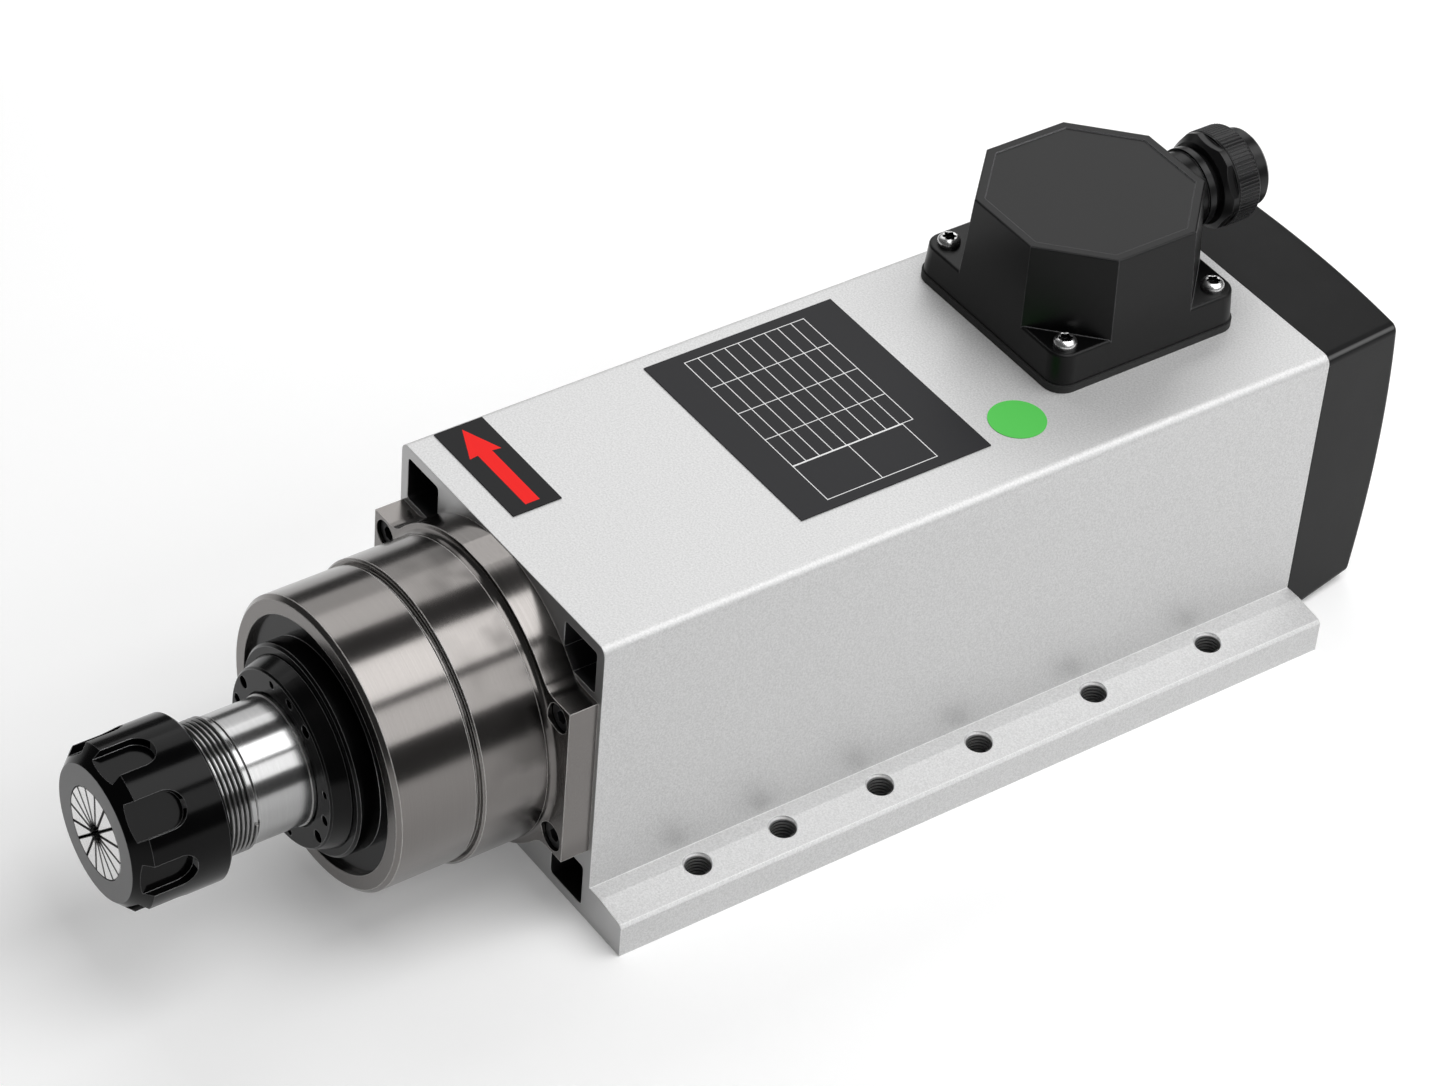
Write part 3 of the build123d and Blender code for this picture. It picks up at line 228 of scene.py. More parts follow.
class Finish(NodeTree):
    """A material, with short calls for the nodes that feed its shader."""

    def __init__(self, name, colour, metallic, roughness, **values):
        self.material = bpy.data.materials.new(name)
        self.material.use_nodes = True
        self.material.diffuse_color = (*colour, 1.0)
        super().__init__(self.material.node_tree)
        self.shader = self.nodes["Principled BSDF"]
        self.shader.inputs["Base Color"].default_value = (*colour, 1.0)
        self.shader.inputs["Metallic"].default_value = metallic
        self.shader.inputs["Roughness"].default_value = roughness
        for socket, value in values.items():
            self.shader.inputs[socket.replace("_", " ")].default_value = value
        self.normal = None

    def vector_math(self, operation, first, second, output="Vector"):
        return self.add("ShaderNodeVectorMath", {"operation": operation}, output, i0=first, i1=second)

    def place(self):
        return self.add("ShaderNodeTexCoord", output="Object")

    def axes(self, vector):
        return self.add("ShaderNodeSeparateXYZ", i0=vector).node.outputs

    def facing(self, axis):
        """How far the surface faces along an axis of the object, from -1 to 1."""
        normal = self.add("ShaderNodeTexCoord", output="Normal")
        return self.vector_math("DOT_PRODUCT", normal, axis, "Value")

    def from_spindle(self):
        """The place, measured from the spindle's axis."""
        return self.vector_math("SUBTRACT", self.place(), (0.0, 0.0, SPINDLE_Z))

    def off_axis(self, apart):
        """How far a place measured from the spindle's axis lies from it."""
        return self.math("SQRT", self.math("ADD", self.math("POWER", apart["X"], 2.0),
                                           self.math("POWER", apart["Z"], 2.0)))

    def turned_place(self):
        """The place along and out from the spindle's axis, so that a pattern runs in rings."""
        apart = self.axes(self.from_spindle())
        return self.add("ShaderNodeCombineXYZ", X=apart["Y"], Y=self.off_axis(apart))

    def noise(self, per_mm, detail=2.0, place=None, roughness=0.5):
        return self.add("ShaderNodeTexNoise", output="Fac", Vector=place or self.place(),
                        Scale=per_mm / MM, Detail=detail, Roughness=roughness)

    def spread(self, value, low, high, start=0.0, end=1.0):
        """Runs from low to high while the value runs from start to end."""
        return self.add("ShaderNodeMapRange", Value=value, From_Min=start, From_Max=end,
                        To_Min=low, To_Max=high)

    def contrast(self, noise, start=0.3, end=0.7):
        """A noise's middle range, drawn out to run from 0 to 1."""
        return self.spread(noise, 0.0, 1.0, start, end)

    def up_to(self, most, mask):
        """A mask or a noise, scaled to reach this value where it is full."""
        return self.spread(mask, 0.0, most)

    def varied(self, value, noise, less, more):
        """A value that a noise varies between two shares of it."""
        return self.spread(noise, less * value, more * value)

    def soft_edges(self, radius):
        """Rounds the shading at edges, and returns a mask that is 1 on them."""
        self.normal = self.add("ShaderNodeBevel", {"samples": EDGE_SAMPLES}, Radius=radius)
        plain = self.add("ShaderNodeNewGeometry", output="Normal")
        same = self.vector_math("DOT_PRODUCT", self.normal, plain, "Value")
        return self.spread(same, 1.0, 0.0, EDGE_BENT, EDGE_FLAT)

    def bump(self, height, distance, strength):
        bump = self.add("ShaderNodeBump", Strength=strength, Distance=distance, Height=height)
        if self.normal is not None:
            self.feed(bump.node.inputs["Normal"], self.normal)
        self.normal = bump

    def colour_from(self, socket):
        self.feed(self.shader.inputs["Base Color"], socket)

    def metallic_from(self, socket):
        self.feed(self.shader.inputs["Metallic"], socket)

    def roughness_from(self, *shares):
        """The roughness is one value, or the sum of two."""
        total = shares[0] if len(shares) == 1 else self.math("ADD", *shares)
        self.feed(self.shader.inputs["Roughness"], total)

    def done(self):
        if self.normal is not None:
            self.feed(self.shader.inputs["Normal"], self.normal)
        return self.material


# Finishes

def anodised_aluminium():
    """Bead-blasted extrusion: a fine sparkle, a painted highlight on its edges, milled ends, and painted
    shade on the walls of its channels.
    """
    finish = Finish("anodised_aluminium", grey(0.65), metallic=0.6, roughness=0.55)
    edge = finish.soft_edges(0.45 * MM)
    grain = finish.noise(per_mm=1.7, detail=3.0, roughness=0.7)
    cloud = finish.noise(per_mm=0.03, detail=3.0)

    end = finish.math("GREATER_THAN", finish.math("ABSOLUTE", finish.facing(BACK)), FACES_END)
    apart = finish.axes(finish.place())
    rise = finish.math("SUBTRACT", apart["Z"], HOUSING_MIDDLE)
    within = finish.times(finish.math("LESS_THAN", finish.math("ABSOLUTE", apart["X"]), INSIDE_X),
                          finish.math("LESS_THAN", finish.math("ABSOLUTE", rise), INSIDE_Z))
    channel = finish.math("GREATER_THAN", finish.math("SUBTRACT", within, end), 0.5)

    blasted = finish.mixed(finish.contrast(grain, 0.35, 0.65), grey(0.56), grey(0.73))
    clouded = finish.mixed(finish.up_to(0.10, cloud), blasted, grey(0.53))
    milled = finish.mixed(end, clouded, grey(0.50))
    # Painted shade: the channel walls are painted near black.
    channel_shade = finish.mixed(channel, milled, (0.035, 0.035, 0.036))
    # Painted highlight: the edges are painted near white.
    finish.colour_from(finish.mixed(edge, channel_shade, grey(0.98)))
    blasted_roughness = finish.spread(grain, 0.50, 0.64)
    milled_roughness = 0.28
    finish.roughness_from(finish.add("ShaderNodeMix", {"data_type": "FLOAT"}, i0=end,
                                     i2=blasted_roughness, i3=milled_roughness))
    finish.bump(grain, distance=0.02 * MM, strength=0.35)
    return finish.done()


def slit_shade_mask(finish):
    """1 on the face of the collet along its slits, where shade is painted dark."""
    apart = finish.axes(finish.from_spindle())
    turn = finish.times(finish.math("ARCTAN2", apart["X"], apart["Z"]), SLIT_COUNT / 2)
    away = finish.times(finish.math("ABSOLUTE", finish.math("SINE", turn)), 2 / SLIT_COUNT)
    across = finish.times(away, finish.off_axis(apart))
    face = finish.math("GREATER_THAN", finish.facing(FRONT), FACES_FRONT)
    slit = finish.spread(across, 1.0, 0.0, SLIT_SHARP_SHARE * SLIT_HALF_WIDTH, SLIT_HALF_WIDTH)
    return finish.times(slit, face)


def flange_shade_mask(finish):
    """1 in the patches of painted shade on the bearing housing, towards its flange."""
    along = finish.axes(finish.place())["Y"]
    near = finish.times(finish.spread(along, 0.0, 1.0, FLANGE_SHADE_START, FLANGE_SHADE_END),
                        finish.math("LESS_THAN", along, FLANGE_FACE))
    patches = finish.spread(finish.noise(per_mm=0.055), 0.25, 1.0, 0.44, 0.60)
    return finish.times(finish.times(near, patches), FLANGE_SHADE_STRENGTH)


def turned_metal(name, colour, dark, roughness, rings_per_mm, anisotropic=0.6, edge_width=0.35,
                 painted_edge_tone=(0.9, 0.88, 0.86), edge_blur=0.4, edge_full=1.0, painted_shade=None, painted_shade_colour=None):
    """Metal turned in a lathe: fine rings, reflections drawn out along the axis, and edges painted in their
    own tone: a painted highlight where it is pale, painted shade where it is dark.
    """
    finish = Finish(name, colour, 1.0, roughness, Anisotropic=anisotropic, Anisotropic_Rotation=0.25)
    edge = finish.spread(finish.soft_edges(edge_width * MM), 0.0, 1.0, 0.0, edge_full)
    rings = finish.noise(per_mm=rings_per_mm, detail=4.0, place=finish.turned_place(), roughness=0.75)
    smear = finish.noise(per_mm=0.04, detail=3.0)
    base = finish.mixed(finish.contrast(rings), dark, colour)
    # Painted shade, in a mask and a colour that the caller gives.
    if painted_shade:
        base = finish.mixed(painted_shade(finish), base, painted_shade_colour)
    # Painted highlight on the edges where their tone is pale, painted shade where it is dark.
    finish.colour_from(finish.mixed(finish.up_to(0.85, edge), base, painted_edge_tone))
    shine = finish.math("ADD", finish.varied(roughness, rings, 0.8, 1.25),
                        finish.spread(smear, -0.04, 0.06))
    finish.roughness_from(shine, finish.up_to(edge_blur, edge))
    finish.metallic_from(finish.spread(edge, 1.0, 1.0 - edge_blur))
    finish.bump(rings, GROOVE_DEPTH, strength=0.5)
    round_axis = finish.vector_math("CROSS_PRODUCT", BACK, finish.from_spindle())
    to_world = {"vector_type": "VECTOR", "convert_from": "OBJECT", "convert_to": "WORLD"}
    tangent = finish.add("ShaderNodeVectorTransform", to_world, i0=round_axis)
    finish.feed(finish.shader.inputs["Tangent"], tangent)
    return finish.done()


def black_oxide(name, colour, roughness, edge_width=0.35, face_colour=None, gloss=0.22, wear_and_highlight=0.45):
    """Black-oxided steel: satin, with edges worn through the oxide and painted bright as a highlight, and a
    paler ground front face.
    """
    finish = Finish(name, colour, 0.0, roughness, Specular_IOR_Level=gloss)
    edge = finish.up_to(wear_and_highlight, finish.soft_edges(edge_width * MM))
    rings = finish.noise(per_mm=3.0, detail=3.0, place=finish.turned_place(), roughness=0.7)
    patches = finish.noise(per_mm=0.12, detail=4.0)
    base = finish.mixed(finish.contrast(patches), colour, shade(colour, 1.7))
    if face_colour:
        ground_face = finish.math("GREATER_THAN", finish.facing(FRONT), FACES_FRONT_SQUARE)
        base = finish.mixed(ground_face, base, face_colour)
    # Worn edges, made metallic and pale, partly as a painted highlight.
    worn_highlight_metal = (0.48, 0.48, 0.485)
    finish.colour_from(finish.mixed(edge, base, worn_highlight_metal))
    finish.metallic_from(edge)
    finish.roughness_from(finish.varied(roughness, patches, 0.85, 1.2),
                          finish.spread(rings, -0.03, 0.05))
    finish.bump(rings, GROOVE_DEPTH, strength=0.4)
    return finish.done()


def moulded_plastic(name, colour, roughness, edge_width=0.6, edge_highlight=0.10, gloss=0.25, corner_highlight=0.0):
    """Moulded plastic: a fine spark-eroded grain, and a painted highlight along its edges and long corners.
    """
    finish = Finish(name, colour, 0.0, roughness, Specular_IOR_Level=gloss)
    edge = finish.soft_edges(edge_width * MM)
    grain = finish.noise(per_mm=GRAIN_PER_MM, detail=3.0, roughness=0.65)
    cloud = finish.noise(per_mm=0.05, detail=3.0)
    base = finish.mixed(finish.contrast(cloud), colour, shade(colour, 1.35))
    # Painted highlight along the long corners, by the way they face.
    if corner_highlight:
        slope = finish.math("ABSOLUTE", finish.times(finish.facing(RIGHT), finish.facing(UP)))
        corner = finish.spread(slope, 0.0, corner_highlight, CORNER_HIGHLIGHT_START, CORNER_HIGHLIGHT_END)
        base = finish.mixed(corner, base, grey(0.30))
    # Painted highlight on the edges.
    finish.colour_from(finish.mixed(finish.up_to(edge_highlight, edge), base, (0.30, 0.30, 0.31)))
    finish.roughness_from(finish.varied(roughness, grain, 0.85, 1.15),
                          finish.up_to(-0.1, edge))
    finish.bump(grain, GRAIN_DEPTH, strength=0.35)
    return finish.done()


def bright_metal(name, colour, roughness, marks_per_mm=0.5):
    """Bright plated or stainless metal with faint handling marks."""
    finish = Finish(name, colour, 1.0, roughness)
    edge = finish.soft_edges(0.2 * MM)
    marks = finish.noise(per_mm=marks_per_mm, detail=5.0, roughness=0.7)
    finish.colour_from(finish.mixed(finish.contrast(marks), shade(colour, 0.86), colour))
    finish.roughness_from(finish.varied(roughness, marks, 0.7, 1.4),
                          finish.up_to(0.05, edge))
    finish.bump(marks, distance=0.003 * MM, strength=0.4)
    return finish.done()


def tapped_thread():
    """A tapped thread: painted light on the flanks where they face up, painted shade on the roots and
    undersides.
    """
    finish = Finish("tapped_thread", grey(0.6), metallic=0.2, roughness=0.45)
    upward = finish.spread(finish.facing(UP), 0.0, 1.0, -0.2, 0.6)
    marks = finish.noise(per_mm=1.5, detail=3.0)
    lit_flank = finish.mixed(marks, grey(0.80), grey(0.97))
    # Painted light and shade: pale where the flanks face up, near black where they face down.
    finish.colour_from(finish.mixed(upward, grey(0.03), lit_flank))
    finish.bump(marks, distance=0.01 * MM, strength=0.4)
    return finish.done()


def laminated_steel():
    """The edges of stacked sheets, one line for each."""
    steel = (0.30, 0.30, 0.32)
    finish = Finish("laminations", steel, metallic=0.8, roughness=0.45)
    along = finish.axes(finish.place())["Y"]
    wave = finish.math("SINE", finish.times(along, 2 * pi / SHEET))
    rust = finish.noise(per_mm=0.3, detail=4.0)
    base = finish.mixed(finish.up_to(0.5, rust), steel, shade(steel, 0.6))
    seam = finish.spread(wave, 0.0, 0.5, -1.0, 1.0)
    finish.colour_from(finish.mixed(seam, base, (0.04, 0.04, 0.045)))
    finish.bump(wave, distance=0.05 * MM, strength=0.6)
    return finish.done()


def enamelled_wire():
    """Bundled copper wire under varnish: strands that run round the bundle."""
    finish = Finish("enamelled_wire", (0.55, 0.22, 0.08), metallic=0.7, roughness=0.3,
                    Coat_Weight=0.6, Coat_Roughness=0.15)
    strands = finish.noise(per_mm=1.6, detail=2.0, place=finish.turned_place(), roughness=0.6)
    gap_colour = (0.22, 0.07, 0.02)
    strand_colour = (0.75, 0.34, 0.13)
    finish.colour_from(finish.mixed(finish.contrast(strands, 0.35, 0.65), gap_colour, strand_colour))
    finish.bump(strands, distance=0.3 * MM, strength=0.8)
    return finish.done()


def printed_foil(name, colour, roughness):
    """A printed foil label, very slightly uneven where it is stuck down."""
    finish = Finish(name, colour, 0.0, roughness, Specular_IOR_Level=0.10)
    waves = finish.noise(per_mm=0.15)
    fibres = finish.noise(per_mm=5.0, detail=3.0, roughness=0.7)
    finish.colour_from(finish.mixed(finish.up_to(0.35, fibres), colour, shade(colour, 0.75)))
    finish.roughness_from(finish.varied(roughness, fibres, 0.85, 1.15))
    finish.bump(waves, distance=0.05 * MM, strength=0.4)
    return finish.done()


def soft_rubber():
    finish = Finish("soft_rubber", grey(0.012), metallic=0.0, roughness=0.65, Specular_IOR_Level=0.35)
    grain = finish.noise(per_mm=1.5, detail=3.0)
    finish.colour_from(finish.mixed(grain, grey(0.008), grey(0.022)))
    finish.bump(grain, distance=0.03 * MM, strength=0.4)
    return finish.done()


# Pieces built with geometry nodes

class Pattern(NodeTree):
    """A geometry nodes tree with named inputs for its sizes."""

    def __init__(self, name, sizes):
        self.tree = bpy.data.node_groups.new(name, "GeometryNodeTree")
        super().__init__(self.tree)
        face = self.tree.interface
        face.new_socket("Geometry", in_out="INPUT", socket_type="NodeSocketGeometry")
        self.sizes = sizes
        for label, value in sizes.items():
            kind = "NodeSocketInt" if isinstance(value, int) else "NodeSocketFloat"
            face.new_socket(label, in_out="INPUT", socket_type=kind)
        face.new_socket("Geometry", in_out="OUTPUT", socket_type="NodeSocketGeometry")
        self.start = self.nodes.new("NodeGroupInput").outputs
        self.finish = self.nodes.new("NodeGroupOutput").inputs[0]

    def vector(self, x=0.0, y=0.0, z=0.0):
        return self.add("ShaderNodeCombineXYZ", X=x, Y=y, Z=z)

    def on_circle(self, angle, radius):
        return self.vector(self.times(self.math("COSINE", angle), radius),
                           self.times(self.math("SINE", angle), radius))

    def row(self, count):
        """Points in one place, to be moved by their index."""
        return self.add("GeometryNodeMeshLine", Count=count, Offset=(0.0, 0.0, 0.0))

    def middle_share(self, index, last):
        """Runs from -0.5 at the first point to 0.5 at the last."""
        return self.math("SUBTRACT", self.math("DIVIDE", index, last), 0.5)

    def joined(self, parts):
        join = self.nodes.new("GeometryNodeJoinGeometry")
        for part in parts:
            self.links.new(part, join.inputs[0])
        return join.outputs[0]

    def on_points(self, points, instance, **inputs):
        return self.add("GeometryNodeInstanceOnPoints", Points=points, Instance=instance, **inputs)

    def close(self, geometry, material):
        """Ends the tree: real meshes instead of instances, in one material."""
        real = self.add("GeometryNodeRealizeInstances", i0=geometry)
        painted = self.add("GeometryNodeSetMaterial", Geometry=real, Material=material)
        self.links.new(painted, self.finish)


def linked_object(name, data):
    piece = bpy.data.objects.new(name, data)
    bpy.context.scene.collection.objects.link(piece)
    return piece


def grown(name, places, pattern, material):
    """Runs a pattern on a set of points and returns the result as a plain mesh object."""
    base = bpy.data.meshes.new(name + "_base")
    base.from_pydata([tuple(place) for place in places], [], [])
    seed = linked_object(name + "_seed", base)
    modifier = seed.modifiers.new(name, "NODES")
    modifier.node_group = pattern.tree
    for item in pattern.tree.interface.items_tree:
        if item.in_out == "INPUT" and item.name in pattern.sizes:
            modifier[item.identifier] = pattern.sizes[item.name]
    seed.update_tag()
    depsgraph = bpy.context.evaluated_depsgraph_get()
    mesh = bpy.data.meshes.new_from_object(seed.evaluated_get(depsgraph))
    seed.modifiers.remove(modifier)
    bpy.data.objects.remove(seed)
    mesh.name = name
    mesh.materials.clear()
    mesh.materials.append(material)
    return linked_object(name, mesh)


def thread_pattern(name, root, crest, pitch, turns, steps, tilt, material):
    """A helical ridge from its root's radius to its crest's, set on each point of the base mesh."""
    sizes = {"Root radius": root, "Crest radius": crest, "Pitch": pitch, "Turns": turns, "Steps": steps,
             "Crest share": THREAD_CREST_SHARE, "Root share": THREAD_ROOT_SHARE}
    pattern = Pattern(name, sizes)
    start = pattern.start
    rise = pattern.times(start["Pitch"], start["Turns"])
    middle = pattern.times(pattern.math("ADD", start["Root radius"], start["Crest radius"]), 0.5)
    spiral = pattern.add("GeometryNodeCurveSpiral", Resolution=start["Steps"], Rotations=start["Turns"],
                         Start_Radius=middle, End_Radius=middle, Height=rise)
    upright = pattern.add("GeometryNodeSetCurveNormal", {"mode": "Z_UP"}, Curve=spiral)
    depth = pattern.math("SUBTRACT", start["Crest radius"], start["Root radius"])
    section = pattern.add("GeometryNodeCurvePrimitiveQuadrilateral", {"mode": "TRAPEZOID"},
                          Bottom_Width=pattern.times(start["Pitch"], start["Root share"]),
                          Top_Width=pattern.times(start["Pitch"], start["Crest share"]),
                          Offset=0.0, Height=depth)
    turned = pattern.add("GeometryNodeTransform", Geometry=section, Rotation=(0.0, 0.0, radians(90.0)))
    ridge = pattern.add("GeometryNodeCurveToMesh", Curve=upright, Profile_Curve=turned, Fill_Caps=True)
    pattern.close(pattern.on_points(start["Geometry"], ridge, Rotation=(radians(tilt), 0.0, 0.0)), material)
    return pattern


def shaft_thread(material):
    pattern = thread_pattern("shaft_thread", THREAD_ROOT, THREAD_CREST, THREAD_PITCH, THREAD_TURNS,
                             THREAD_STEPS, 90.0, material)
    return grown("shaft_thread", [(0.0, THREAD_START, SPINDLE_Z)], pattern, material)


def foot_threads(material):
    pattern = thread_pattern("foot_threads", FOOT_HOLE_RADIUS, FOOT_THREAD_CREST, FOOT_THREAD_PITCH,
                             FOOT_THREAD_TURNS, FOOT_THREAD_STEPS, 0.0, material)
    places = [(side * FOOT_HOLE_X, station * MM, FOOT_THREAD_START)
              for side, station in product((-1, 1), FOOT_HOLE_STATIONS)]
    return grown("foot_threads", places, pattern, material)


def gland_grip(material):
    """Six panels of fine ribs round the gland nut, each in a thin raised frame."""
    sizes = {"Radius": GRIP_RADIUS, "Rib radius": GRIP_RIB_RADIUS, "Length": GRIP_END - GRIP_START,
             "Panels": GRIP_PANELS, "Ribs": GRIP_RIBS, "Panel angle": radians(GRIP_PANEL_ANGLE),
             "Frame": GRIP_FRAME}
    pattern = Pattern("gland_grip", sizes)
    start = pattern.start
    index = pattern.add("GeometryNodeInputIndex")

    rib = pattern.add("GeometryNodeMeshCylinder", Vertices=GRIP_RIB_SIDES, Radius=start["Rib radius"],
                      Depth=start["Length"])
    share = pattern.middle_share(index, pattern.math("SUBTRACT", start["Ribs"], 1.0))
    place = pattern.on_circle(pattern.times(share, start["Panel angle"]), start["Radius"])
    spread = pattern.add("GeometryNodeSetPosition", Geometry=pattern.row(start["Ribs"]), Position=place)
    parts = [pattern.on_points(spread, rib)]

    wide = pattern.times(start["Panel angle"], GRIP_FRAME_SHARE)
    section = pattern.add("GeometryNodeCurvePrimitiveQuadrilateral", {"mode": "RECTANGLE"},
                          Width=start["Frame"], Height=start["Frame"])
    arc = pattern.add("GeometryNodeCurveArc", {"mode": "RADIUS"}, Resolution=GRIP_FRAME_STEPS,
                      Radius=start["Radius"], Start_Angle=pattern.times(wide, -0.5), Sweep_Angle=wide)
    end = pattern.add("GeometryNodeCurveToMesh", Curve=arc, Profile_Curve=section, Fill_Caps=True)
    side = pattern.add("GeometryNodeMeshCube",
                       Size=pattern.vector(start["Frame"], start["Frame"], start["Length"]))
    for half in (-0.5, 0.5):
        height = pattern.vector(z=pattern.times(start["Length"], half))
        parts.append(pattern.add("GeometryNodeTransform", Geometry=end, Translation=height))
    for half in (-0.5, 0.5):
        turn = pattern.times(wide, half)
        parts.append(pattern.add("GeometryNodeTransform", Geometry=side, Rotation=pattern.vector(z=turn),
                                 Translation=pattern.on_circle(turn, start["Radius"])))

    step = pattern.math("DIVIDE", 2 * pi, start["Panels"])
    around = pattern.vector(z=pattern.times(index, step))
    ring = pattern.on_points(pattern.row(start["Panels"]), pattern.joined(parts), Rotation=around)
    pattern.close(pattern.on_points(start["Geometry"], ring, Rotation=(radians(-90.0), 0.0, 0.0)), material)
    return grown("gland_grip", [(GLAND_X, (GRIP_START + GRIP_END) / 2, GLAND_Z)], pattern, material)


def ruled_table(name, corner, width, depth, top, rows, columns, material):
    """Thin raised rules, from the table's front left corner: a border with rows and columns inside it."""
    pattern = Pattern(name, {"Width": width, "Depth": depth, "Rows": rows, "Columns": columns,
                             "Rule": RULE_WIDTH, "Ink": INK_THICKNESS})
    start = pattern.start
    index = pattern.add("GeometryNodeInputIndex")
    long_row = pattern.math("ADD", start["Width"], start["Rule"])
    long_column = pattern.math("ADD", start["Depth"], start["Rule"])
    lower = pattern.times(start["Ink"], COLUMN_RULE_SHARE)
    sizes = {"Rows": pattern.vector(long_row, start["Rule"], start["Ink"]),
             "Columns": pattern.vector(start["Rule"], long_column, lower)}
    sets = []
    for count, span, axis in (("Rows", "Depth", "y"), ("Columns", "Width", "x")):
        shift = pattern.times(pattern.middle_share(index, start[count]), start[span])
        lines = pattern.row(pattern.math("ADD", start[count], 1.0))
        place = pattern.vector(**{axis: shift})
        spread = pattern.add("GeometryNodeSetPosition", Geometry=lines, Position=place)
        sets.append(pattern.on_points(spread, pattern.add("GeometryNodeMeshCube", Size=sizes[count])))
    pattern.close(pattern.on_points(start["Geometry"], pattern.joined(sets)), material)
    middle = (corner[0] + width / 2, corner[1] + depth / 2, top + INK_THICKNESS / 2)
    return grown(name, [middle], pattern, material)


# Pieces built from points

def mesh_piece(name, points, faces, material):
    mesh = bpy.data.meshes.new(name)
    mesh.from_pydata(points, [], faces)
    mesh.materials.append(material)
    return linked_object(name, mesh)


def direction_arrow(low, high, material):
    """The arrow on the direction label, as thick as its ink. It points along -X."""
    middle = (low.y + high.y) / 2
    tip = low.x + ARROW_TIP
    neck = tip + ARROW_HEAD
    tail = high.x - ARROW_TAIL
    half = [(tip, 0.0), (neck, ARROW_HALF_HEAD),
            (neck - ARROW_BARB, ARROW_HALF_SHAFT), (tail, ARROW_HALF_SHAFT)]
    outline = [(x, middle - y) for x, y in half] + [(x, middle + y) for x, y in reversed(half[1:])]
    count = len(outline)
    points = [(x, y, z) for z in (high.z, high.z + INK_THICKNESS) for x, y in outline]
    faces = [tuple(reversed(range(count))), tuple(range(count, 2 * count))]
    for corner in range(count):
        following = (corner + 1) % count
        faces.append((corner, following, count + following, count + corner))
    return mesh_piece("direction_arrow", points, faces, material)


def button_side():
    """Radius and height along the outside of a button head, up to the lip of its socket."""
    last = acos((BUTTON_SOCKET + BUTTON_LOBE + BUTTON_LIP) / BUTTON_RADIUS)
    band = BUTTON_HEIGHT * BUTTON_BAND
    crown = (BUTTON_HEIGHT - band) / sin(last)
    angles = [last * step / BUTTON_DOME_STEPS for step in range(BUTTON_DOME_STEPS + 1)]
    dome = [(BUTTON_RADIUS * cos(angle), band + crown * sin(angle)) for angle in angles]
    return [(BUTTON_RADIUS - BUTTON_UNDERCUT, 0.0), (BUTTON_RADIUS, 0.0)] + dome


def button_heads(material, socket_shade_material):
    """The four button-head screws of the terminal box, each with a six-lobed socket whose faces are painted
    near black as shade.
    """
    outside = button_side()
    socket_heights = (BUTTON_HEIGHT - BUTTON_SOCKET_BEVEL, BUTTON_HEIGHT - BUTTON_SOCKET_DEPTH)
    rings = len(outside) + len(socket_heights)
    points = []
    faces = []
    for side, end in product((-1, 1), repeat=2):
        x = BOX_X + side * BOX_SCREW_X
        y = BOX_Y + end * BOX_SCREW_Y
        columns = [len(points) + step * rings for step in range(BUTTON_STEPS)]
        for step in range(BUTTON_STEPS):
            turn = 2 * pi * step / BUTTON_STEPS
            lobe = BUTTON_SOCKET + BUTTON_LOBE * cos(BUTTON_LOBES * turn)
            profile = outside + [(lobe, height) for height in socket_heights]
            points += [(x + r * cos(turn), y + r * sin(turn), LEDGE_Z + height) for r, height in profile]
        for here, beside in zip(columns, columns[1:] + columns[:1]):
            faces += [(here + ring, beside + ring, beside + ring + 1, here + ring + 1)
                      for ring in range(rings - 1)]
        faces.append(tuple(reversed(columns)))
        faces.append(tuple(column + rings - 1 for column in columns))
    piece = mesh_piece("button_heads", points, faces, material)
    piece.data.shade_smooth()
    piece.data.set_sharp_from_angle(angle=radians(BUTTON_SHARP))
    # The socket's faces get the near-black finish, as painted shade.
    piece.data.materials.append(socket_shade_material)
    for face in piece.data.polygons:
        if min(corner % rings for corner in face.vertices) >= len(outside):
            face.material_index = 1
    return piece


# Scene

def paint(frame, material, *nodes):
    for node in nodes:
        mesh = frame["nodes"][node].data
        mesh.materials.clear()
        mesh.materials.append(material)


def white_floor():
    """A pale floor that keeps the shadow, and turns white further off, where the lamps don't reach."""
    finish = Finish("pale_floor", grey(0.86), metallic=0.0, roughness=0.9)
    path = finish.nodes.new("ShaderNodeLightPath").outputs
    seen = finish.math("MAXIMUM", path["Is Camera Ray"],
                       finish.math("MAXIMUM", path["Is Glossy Ray"], path["Is Transmission Ray"]))
    away = finish.add("ShaderNodeVectorMath", {"operation": "LENGTH"}, "Value", i0=finish.place())
    far = finish.times(finish.spread(away, 0.0, 1.0, WHITE_START, WHITE_END), path["Is Camera Ray"])
    finish.shader.inputs["Emission Color"].default_value = (1.0, 1.0, 1.0, 1.0)
    finish.feed(finish.shader.inputs["Emission Strength"],
                finish.math("ADD", finish.times(seen, FLOOR_GLOW), far))
    corners = [(x * FLOOR_REACH, y * FLOOR_REACH, 0.0) for x, y in ((-1, -1), (1, -1), (1, 1), (-1, 1))]
    mesh_piece("floor", corners, [(0, 1, 2, 3)], finish.done())


def studio_world():
    """A white surround for the camera and a dim even one for the object."""
    world = bpy.data.worlds.new("studio")
    world.use_nodes = True
    tree = NodeTree(world.node_tree)
    camera_ray = tree.add("ShaderNodeLightPath", output="Is Camera Ray")
    tree.feed(tree.nodes["Background"].inputs[0], tree.mixed(camera_ray, grey(ROOM_LIGHT), grey(1.0)))
    bpy.context.scene.world = world


